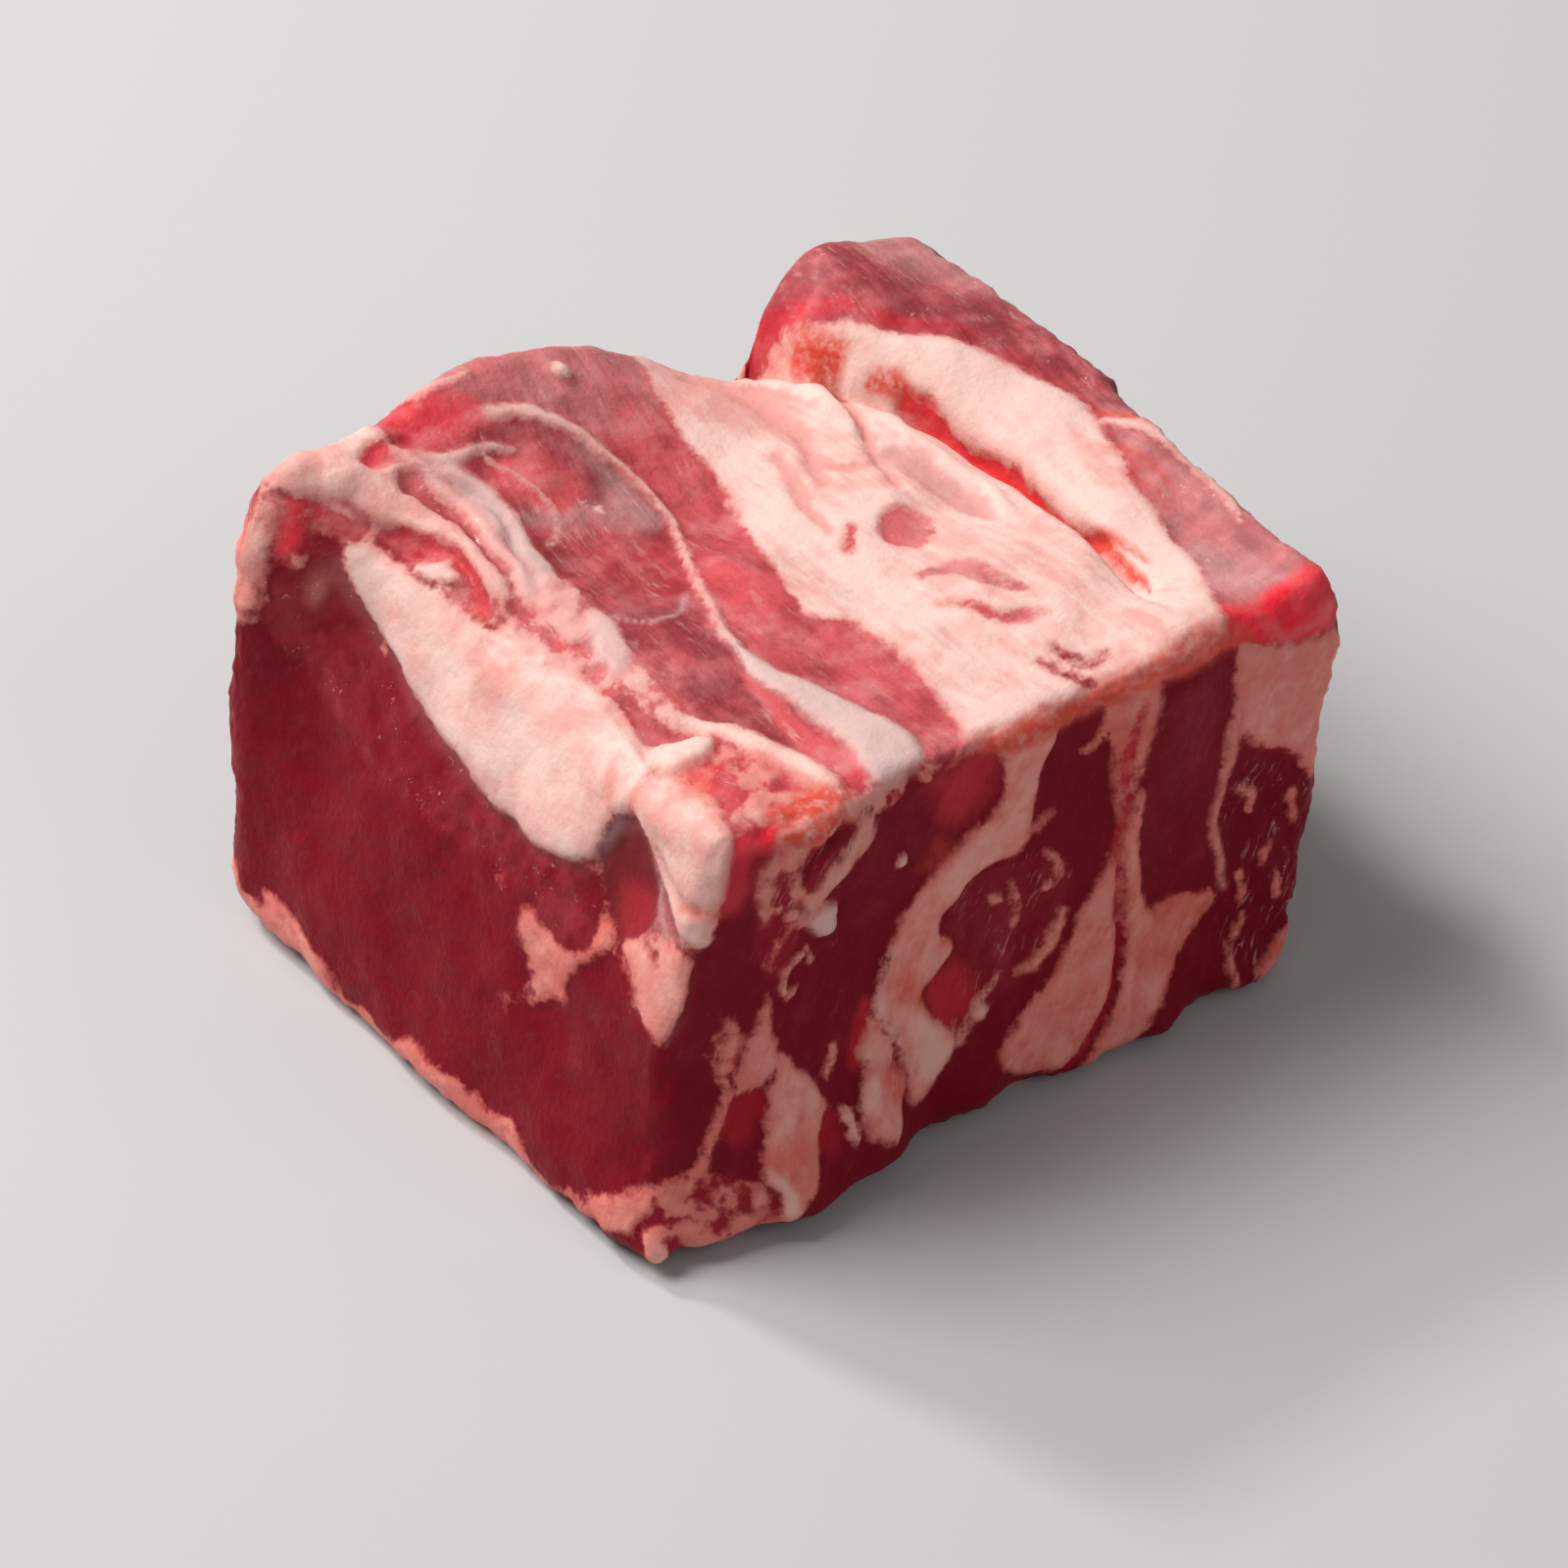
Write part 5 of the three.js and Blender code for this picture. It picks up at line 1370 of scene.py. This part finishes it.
    def fine_height(self, points: np.ndarray, coats: dict[Coat, np.ndarray], edge: np.ndarray,
                    noise: SpaceNoise) -> np.ndarray:
        """Fine relief: the marks' own, fat and silver standing proud, and grain that each tissue has.

        Args:
            points: The surface, in millimetres.
            coats: Its coats.
            edge: From 0 on a flat face to 1 on a cut edge.
            noise: The grain.

        Returns:
            Millimetres along the way out.
        """
        fatness = smooth(*self.fat_step, coats[FAT])
        lean_relief = self.lean_swell.at(points, noise)
        lean_relief += self.lean_grain.at(points * np.array(self.grain_counts), noise)
        fat_relief = self.fat_swell.at(points, noise) + self.fat_grain.at(points, noise)
        stands = coats[RELIEF] + self.fat_stands * fatness + self.silver_stands * coats[SILVER]
        return (
            stands + fatness * fat_relief + (1 - fatness) * lean_relief + self.slow_swell.at(points, noise)
            + self.fleck_lumps.at(points, noise) * coats[FLECKS_AND_GLINTS] + self.ragged_edge.at(points, noise) * edge
        )

    @staticmethod
    def fitted(points: np.ndarray) -> np.ndarray:
        """Sets the surface in the solid's box, in metres: middle on middle, scaled to the tightest side."""
        low, high = (np.array(corner) for corner in CAD_BOX)
        own_low, own_high = points.min(0), points.max(0)
        scale = ((high - low) / (own_high - own_low)).min()
        middle, own_middle = (low + high) / 2, (own_low + own_high) / 2
        fitted = (points - own_middle) * scale + middle
        fitted[:, 2] = (points[:, 2] - own_low[2]) * scale + low[2]
        return fitted

    def build(self) -> bpy.types.Object:
        """Makes the skin's mesh with its coats and gives it the meat's finish.

        Returns:
            The finished piece.
        """
        noise = SpaceNoise(self.seed)
        q, quads = self.box_grid()
        points, facing = self.form.surface(q)
        coats = self.coats(points, facing, noise)
        edge = smooth(*self.edge_turns, np.abs(facing).max(1))
        height = self.fine_height(points, coats, edge, noise) * smooth(*self.foot_heights, points[:, 2])
        way_out = self.normals(points, quads)
        points = points + way_out * height[:, None]
        points[:, 2] = np.maximum(points[:, 2], 0)

        mesh = bpy.data.meshes.new("meat_skin")
        mesh.from_pydata(self.fitted(points).tolist(), [], quads.tolist())
        mesh.polygons.foreach_set("use_smooth", np.ones(len(quads), bool))
        for coat, values in coats.items():
            layer = mesh.attributes.new(coat.value, "FLOAT", "POINT")
            layer.data.foreach_set("value", values.astype(np.float32))
        mesh.update()
        piece = bpy.data.objects.new("meat_skin", mesh)
        bpy.context.scene.collection.objects.link(piece)
        mesh.materials.append(MeatFinish().material())
        LOG.info("meat_skin: %d points, %d cells", len(points), len(quads))
        return piece


@dataclass(frozen=True)
class Pattern:
    """Noise stepped to values: its length in millimetres, its detail, step, roughness and distortion."""

    length: float
    detail: float
    step: Step
    roughness: float = 0.55
    distortion: float = 0.0


class Nodes:
    """Short calls that add nodes to a material and link them."""

    def __init__(self, material: bpy.types.Material) -> None:
        """Starts from the material's own shader.

        Args:
            material: Which gets the nodes.
        """
        material.use_nodes = True
        self.tree = material.node_tree
        self.shader = self.tree.nodes["Principled BSDF"]

    def put(self, socket: bpy.types.NodeSocket, value: object) -> None:
        """Links a socket to another one, or sets its value."""
        if isinstance(value, bpy.types.NodeSocket):
            self.tree.links.new(value, socket)
        elif isinstance(value, tuple) and len(value) == 3 and socket.type == "RGBA":
            socket.default_value = (*value, 1)
        else:
            socket.default_value = value

    def add(self, kind: str, inputs: dict[str | int, object], **settings: object) -> bpy.types.Node:
        """Adds a node.

        Args:
            kind: Its type.
            inputs: What goes into its sockets, by name or number.
            settings: Its other properties.

        Returns:
            The node.
        """
        node = self.tree.nodes.new(kind)
        for name, value in settings.items():
            setattr(node, name, value)
        for name, value in inputs.items():
            self.put(node.inputs[name], value)
        return node

    def maths(self, operation: str, *values: object) -> bpy.types.NodeSocket:
        """Result of a sum, product or other operation on one to three values."""
        return self.add("ShaderNodeMath", dict(enumerate(values)), operation=operation).outputs[0]

    def step(
        self, value: object, start: float, end: float, low: float = 0, high: float = 1,
    ) -> bpy.types.NodeSocket:
        """Smooth step of a value, from low at start to high at end. A Step holds these four numbers."""
        inputs = {"Value": value, "From Min": start, "From Max": end, "To Min": low, "To Max": high}
        return self.add("ShaderNodeMapRange", inputs, interpolation_type="SMOOTHSTEP").outputs[0]

    def blend(self, share: object, under: object, over: object, mode: str = "MIX") -> bpy.types.NodeSocket:
        """Colour that goes from under to over by the share."""
        inputs = {0: share, 6: under, 7: over}
        return self.add("ShaderNodeMix", inputs, data_type="RGBA", blend_type=mode).outputs[2]

    def coat(self, coat: Coat) -> bpy.types.NodeSocket:
        """A coat's value on the surface."""
        return self.add("ShaderNodeAttribute", {}, attribute_name=coat.value).outputs["Fac"]

    def noise(
        self, place: object, length: float, detail: float, roughness: float = 0.55, distortion: float = 0,
    ) -> bpy.types.NodeSocket:
        """Noise from about 0 to 1, with waves of the length in millimetres, ragged where it is distorted."""
        inputs = {
            "Vector": place, "Scale": 1 / length,
            "Detail": detail, "Roughness": roughness, "Distortion": distortion,
        }
        return self.add("ShaderNodeTexNoise", inputs).outputs[0]

    def pattern(self, place: object, pattern: Pattern) -> bpy.types.NodeSocket:
        """A pattern's value at a place: its noise after its step."""
        noise = self.noise(place, pattern.length, pattern.detail, pattern.roughness, pattern.distortion)
        return self.step(noise, *pattern.step)

    def product(self, *values: object) -> bpy.types.NodeSocket:
        """Product of two or more values."""
        first, *others = values
        for other in others:
            first = self.maths("MULTIPLY", first, other)
        return first

    def along_sheets(self, place: object) -> bpy.types.NodeSocket:
        """Place counted across the meat's sheets, along them to the back and along them upwards.

        The two ways along count for less, so that a pattern on this place is drawn out along the sheets.
        """
        across = Vector(SHEETS.normal).normalized()
        back = Vector((0, SHEETS.along_counts, 0))
        up = across.cross(Vector((0, 1, 0))) * -SHEETS.along_counts
        counts = [
            self.add("ShaderNodeVectorMath", {0: place, 1: tuple(way)}, operation="DOT_PRODUCT")
            for way in (across, back, up)
        ]
        inputs = {axis: count.outputs["Value"] for axis, count in enumerate(counts)}
        return self.add("ShaderNodeCombineXYZ", inputs).outputs[0]


@dataclass(frozen=True)
class MeatFinish:
    """Moist raw meat: streaked lean, fat with its blushes, silver skin, stains and a wet gloss, with some
    sheen, glints and shade painted into its colour.
    """

    lean: Colour = (0.62, 0.095, 0.105)
    lean_deep: Colour = (0.205, 0.004, 0.013)
    lean_dark: Colour = (0.05, 0.002, 0.003)
    lean_bright: Colour = (0.90, 0.026, 0.05)
    # Pale haze on the top's lean: partly membrane, partly painted sheen.
    haze: Colour = (0.72, 0.30, 0.30)
    # Pale colour of the strands and of the flecks; on the flecks it is partly a painted glint.
    fleck: Colour = (0.80, 0.50, 0.46)
    fat_cream: Colour = (0.84, 0.56, 0.49)
    fat_pink: Colour = (0.76, 0.36, 0.32)
    fat_blush: Colour = (0.64, 0.17, 0.15)
    silver: Colour = (0.64, 0.46, 0.43)
    stain: Colour = (0.68, 0.08, 0.05)
    # Grey-mauve, laid as grey tissue and as painted shade.
    grey: Colour = (0.36, 0.27, 0.28)
    blood: Colour = (1.0, 0.60, 0.56)
    blood_clots: Colour = (0.78, 0.25, 0.22)
    fray: Pattern = Pattern(1.3, 4, (0.25, 0.75, -0.32, 0.32), 0.6)
    fine_fray: Pattern = Pattern(0.4, 2, (0.3, 0.7, -0.07, 0.07))
    edge_blur: Pattern = Pattern(5.0, 2, (0.4, 0.62, 1.0, 0.6))
    fat_edge: Span = (-0.3, 0.34)
    streak_length: float = 0.9
    streak_detail: float = 3
    streak_span: Span = (0.3, 0.7)
    streaks_deepen: float = 0.1
    streaks_cream: float = 0.2
    streaks_rise: float = 0.03
    lean_changes: Pattern = Pattern(4.0, 4, (0.3, 0.7, -0.2, 0.2))
    changes_in_blood: float = 0.5
    sheen_haze_by_depth: Step = (0.1, 0.9, 0.42, 0.12)
    sheen_haze_blotches: Pattern = Pattern(3.4, 3, (0.42, 0.7, 0, 1))
    patches: Pattern = Pattern(3.1, 3, (0.45, 0.65, 0, 1))
    strands: Pattern = Pattern(0.42, 2, (0.54, 0.68, 0, 1))
    # Where the pale flecks fall: partly fat specks, partly painted glints.
    fleck_and_glint_dots: Pattern = Pattern(0.6, 1, (0.68, 0.75, 0, 1), distortion=1.2)
    fleck_and_glint_cover: float = 0.7
    fleck_blood: float = 0.5
    clots: Pattern = Pattern(2.4, 5, (0.42, 0.68, 0.05, 0.45), 0.65)
    cream_changes: Pattern = Pattern(3.6, 4, (0.3, 0.7, -0.3, 0.3))
    blush_by_depth: Step = (1.0, -0.1, 0, 0.45)
    blush_blotches: Pattern = Pattern(1.7, 5, (0.56, 0.74, 0, 0.25), 0.65)
    grey_and_shade_cover: float = 0.5
    stain_patches: Pattern = Pattern(1.1, 3, (0.3, 0.6, 0.45, 1))
    damp: Pattern = Pattern(2.2, 2, (0.3, 0.7, 0.34, 0.52))
    wet: Pattern = Pattern(2.6, 3, (0.54, 0.7, 0.0, 0.22))
    wet_in_blood: float = 0.1
    lean_grain: Pattern = Pattern(0.8, 4, (0.2, 0.8, 0, 0.07), 0.6)
    fat_grain: Pattern = Pattern(0.9, 4, (0.2, 0.8, 0, 0.06), 0.6)
    specular: float = 0.07
    coat_roughness: float = 0.14
    coat_bends: float = 1.4
    subsurface: float = 0.15
    subsurface_reach: float = 1.2
    subsurface_radius: Colour = (1.0, 0.35, 0.25)

    @staticmethod
    def place(nodes: Nodes) -> bpy.types.NodeSocket:
        """Place on the piece in millimetres."""
        metres = nodes.add("ShaderNodeTexCoord", {}).outputs["Object"]
        scaled = nodes.add("ShaderNodeVectorMath", {0: metres, 1: (1 / MM,) * 3}, operation="MULTIPLY")
        return scaled.outputs[0]

    def fat_share(self, nodes: Nodes, place: object) -> bpy.types.NodeSocket:
        """Share of fat: a step of the fat's depth, after noise has frayed and in places blurred its edge."""
        frayed = nodes.maths("ADD", nodes.coat(FAT), nodes.pattern(place, self.fray))
        frayed = nodes.maths("ADD", frayed, nodes.pattern(place, self.fine_fray))
        return nodes.step(nodes.product(frayed, nodes.pattern(place, self.edge_blur)), *self.fat_edge)

    def lean_colour(self, nodes: Nodes, place: object, streaks: object) -> bpy.types.NodeSocket:
        """Colour of the lean: red to deep red in streaks, a pale haze on top that is partly membrane and
        partly painted sheen, fine strands, and pale flecks that are partly fat specks and partly painted
        glints.

        Args:
            nodes: Makes the nodes.
            place: Place on the piece.
            streaks: Noise drawn out along the sheets.

        Returns:
            The colour.
        """
        change = nodes.step(streaks, *self.streak_span, self.streaks_deepen, -self.streaks_deepen)
        change = nodes.maths("ADD", nodes.pattern(place, self.lean_changes), change)
        change = nodes.product(change, nodes.step(nodes.coat(BLOOD), 0, 1, 1, self.changes_in_blood))
        deep = nodes.maths("ADD", nodes.coat(DEEP), change)
        colour = nodes.blend(nodes.step(deep, 0, 1), self.lean, self.lean_deep)
        colour = nodes.blend(nodes.step(deep, 1, 2), colour, self.lean_dark)
        colour = nodes.blend(nodes.coat(BRIGHT), colour, self.lean_bright)
        bloodless = nodes.maths("SUBTRACT", 1, nodes.coat(BLOOD))
        # Painted sheen: a pale haze over the lighter, bloodless lean, partly membrane.
        haze = nodes.product(nodes.step(deep, *self.sheen_haze_by_depth), nodes.pattern(place, self.sheen_haze_blotches))
        colour = nodes.blend(nodes.product(haze, bloodless), colour, self.haze)
        patches = nodes.pattern(place, self.patches)
        fleck = self.bloodied(nodes, self.fleck, self.fleck_blood)
        strands = nodes.pattern(nodes.along_sheets(place), self.strands)
        colour = nodes.blend(nodes.product(strands, patches, nodes.coat(STREAKS)), colour, fleck)
        # Pale flecks, partly painted glints of wet lean.
        flecks = nodes.product(nodes.pattern(place, self.fleck_and_glint_dots), patches, nodes.coat(FLECKS_AND_GLINTS), self.fleck_and_glint_cover)
        return nodes.blend(flecks, colour, fleck)

    def bloodied(self, nodes: Nodes, colour: object, share: float = 1.0) -> bpy.types.NodeSocket:
        """Colour after blood has soaked in as far as its coat says, times the share."""
        soaked = nodes.product(nodes.coat(BLOOD), share)
        colour = nodes.blend(soaked, colour, self.blood, "MULTIPLY")
        clots = nodes.product(soaked, nodes.pattern(self.place(nodes), self.clots))
        return nodes.blend(clots, colour, self.blood_clots, "MULTIPLY")

    def fat_colour(self, nodes: Nodes, place: object, streaks: object) -> bpy.types.NodeSocket:
        """Colour of the fat: cream to pink, blushing in blotches and towards the lean.

        Args:
            nodes: Makes the nodes.
            place: Place on the piece.
            streaks: Noise drawn out along the sheets.

        Returns:
            The colour.
        """
        cream = nodes.maths("ADD", nodes.coat(CREAM), nodes.pattern(place, self.cream_changes))
        change = nodes.step(streaks, *self.streak_span, -self.streaks_cream, self.streaks_cream)
        cream = nodes.maths("ADD", cream, change)
        colour = nodes.blend(nodes.step(cream, 0, 1), self.fat_pink, self.fat_cream)
        colour = nodes.blend(nodes.step(nodes.coat(FAT), *self.blush_by_depth), colour, self.fat_blush)
        colour = nodes.blend(nodes.pattern(place, self.blush_blotches), colour, self.fat_blush)
        return self.bloodied(nodes, colour)

    def height(self, nodes: Nodes, place: object, streaks: object, fat: object) -> bpy.types.NodeSocket:
        """Finest relief in millimetres: grain and streaks on the lean, softer grain on the fat."""
        rise = nodes.step(streaks, *self.streak_span, 0, self.streaks_rise)
        lean = nodes.maths("ADD", nodes.pattern(place, self.lean_grain), rise)
        soft = nodes.pattern(place, self.fat_grain)
        return nodes.add("ShaderNodeMix", {0: fat, 2: lean, 3: soft}).outputs[0]

    def material(self) -> bpy.types.Material:
        """Puts the meat's material together.

        Returns:
            The material, on Object coordinates and the skin's attributes.
        """
        material = bpy.data.materials.new("moist_meat")
        nodes = Nodes(material)
        place = self.place(nodes)
        streaks = nodes.noise(nodes.along_sheets(place), self.streak_length, self.streak_detail)
        fat = self.fat_share(nodes, place)
        lean = self.lean_colour(nodes, place, streaks)
        colour = nodes.blend(fat, lean, self.fat_colour(nodes, place, streaks))
        colour = nodes.blend(nodes.coat(SILVER), colour, self.bloodied(nodes, self.silver))
        # Grey tissue and painted shade.
        greyed_and_shaded = nodes.product(nodes.coat(GREY_AND_SHADE), self.grey_and_shade_cover)
        colour = nodes.blend(greyed_and_shaded, colour, self.bloodied(nodes, self.grey))
        stained = nodes.product(nodes.coat(STAIN), nodes.pattern(place, self.stain_patches))
        colour = nodes.blend(stained, colour, self.stain)
        wet = nodes.step(nodes.coat(BLOOD), 0, 1, 1, self.wet_in_blood)
        wet = nodes.product(nodes.pattern(place, self.wet), wet)
        relief = self.height(nodes, place, streaks, fat)
        bump = nodes.add("ShaderNodeBump", {"Height": relief, "Distance": MM, "Strength": 1.0})
        for name, value in (
            ("Base Color", colour), ("Roughness", nodes.pattern(place, self.damp)),
            ("Coat Weight", wet), ("Normal", bump.outputs[0]),
            ("Subsurface Weight", self.subsurface), ("Subsurface Scale", self.subsurface_reach * MM),
            ("Subsurface Radius", self.subsurface_radius), ("Specular IOR Level", self.specular),
            ("Coat Roughness", self.coat_roughness), ("Coat IOR", self.coat_bends),
        ):
            nodes.put(nodes.shader.inputs[name], value)
        return material


@dataclass(frozen=True)
class Lamp:
    """A square soft light: the way to it from the chunk, its distance, its side, its power and its colour."""

    name: str
    way: tuple[float, float, float]
    distance: float
    side: float
    power: float
    colour: Colour = (1, 1, 1)


@dataclass(frozen=True)
class Studio:
    """Floor, lights and camera."""

    floor_side: float = 4.0
    floor_colour: Colour = (0.52, 0.515, 0.51)
    floor_roughness: float = 0.7
    sky: float = 0.20
    sky_colour: Colour = (0.95, 0.97, 1.0)
    lamps: tuple[Lamp, ...] = (
        Lamp("window", (-0.42, 0.40, 0.82), 1.2, 0.7, 14.0, (1.0, 0.98, 0.96)),
        Lamp("glint", (-0.15, 0.75, 0.65), 1.0, 0.12, 4.5),
        Lamp("fill", (0.3, -0.8, 0.5), 1.6, 1.0, 4.0),
    )
    azimuth: float = -35.0
    elevation: float = 39.0
    distance: float = 1.0
    target: tuple[float, float, float] = (-0.00307, -0.00387, 0.020)
    view_width: float = 0.13913
    sensor: float = 36.0

    def floor(self) -> bpy.types.Object:
        """Lays the plain pale floor."""
        half = self.floor_side / 2
        mesh = bpy.data.meshes.new("floor")
        corners = [(-half, -half, 0), (half, -half, 0), (half, half, 0), (-half, half, 0)]
        mesh.from_pydata(corners, [], [(0, 1, 2, 3)])
        floor = bpy.data.objects.new("floor", mesh)
        bpy.context.scene.collection.objects.link(floor)
        material = bpy.data.materials.new("pale_floor")
        nodes = Nodes(material)
        nodes.put(nodes.shader.inputs["Base Color"], self.floor_colour)
        nodes.put(nodes.shader.inputs["Roughness"], self.floor_roughness)
        mesh.materials.append(material)
        return floor

    def light(self) -> None:
        """Sets up the lamps and an even pale sky."""
        for lamp in self.lamps:
            data = bpy.data.lights.new(lamp.name, "AREA")
            data.energy, data.size, data.color = lamp.power, lamp.side, lamp.colour
            source = bpy.data.objects.new(lamp.name, data)
            way = Vector(lamp.way).normalized()
            source.location = Vector(self.target) + way * lamp.distance
            source.rotation_euler = way.to_track_quat("Z", "Y").to_euler()
            bpy.context.scene.collection.objects.link(source)
        world = bpy.context.scene.world or bpy.data.worlds.new("sky")
        bpy.context.scene.world = world
        world.use_nodes = True
        background = world.node_tree.nodes["Background"]
        background.inputs[0].default_value = (*self.sky_colour, 1)
        background.inputs[1].default_value = self.sky

    def camera(self) -> None:
        """Sets the camera at the viewing angle, wide enough that the chunk fills most of the frame."""
        data = bpy.data.cameras.new("camera")
        data.sensor_width = self.sensor
        data.lens = self.sensor * self.distance / self.view_width
        camera = bpy.data.objects.new("camera", data)
        turn, rise = math.radians(self.azimuth), math.radians(self.elevation)
        back = Vector((math.sin(turn) * math.cos(rise), -math.cos(turn) * math.cos(rise), math.sin(rise)))
        camera.location = Vector(self.target) + back * self.distance
        camera.rotation_euler = (-back).to_track_quat("-Z", "Y").to_euler()
        bpy.context.scene.collection.objects.link(camera)
        bpy.context.scene.camera = camera

    def build(self) -> None:
        """Makes the floor, the lights and the camera."""
        self.floor()
        self.light()
        self.camera()
        bpy.context.scene.view_settings.view_transform = "Standard"


def main() -> None:
    """Builds the studio and the meat, and ties the meat to its solid."""
    logging.basicConfig(level=logging.INFO, format="%(name)s: %(message)s")
    Studio().build()
    skin = MeatBlock().build()
    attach(skin, "root")
    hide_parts("meat_chunk")


if __name__ == "__main__":
    main()
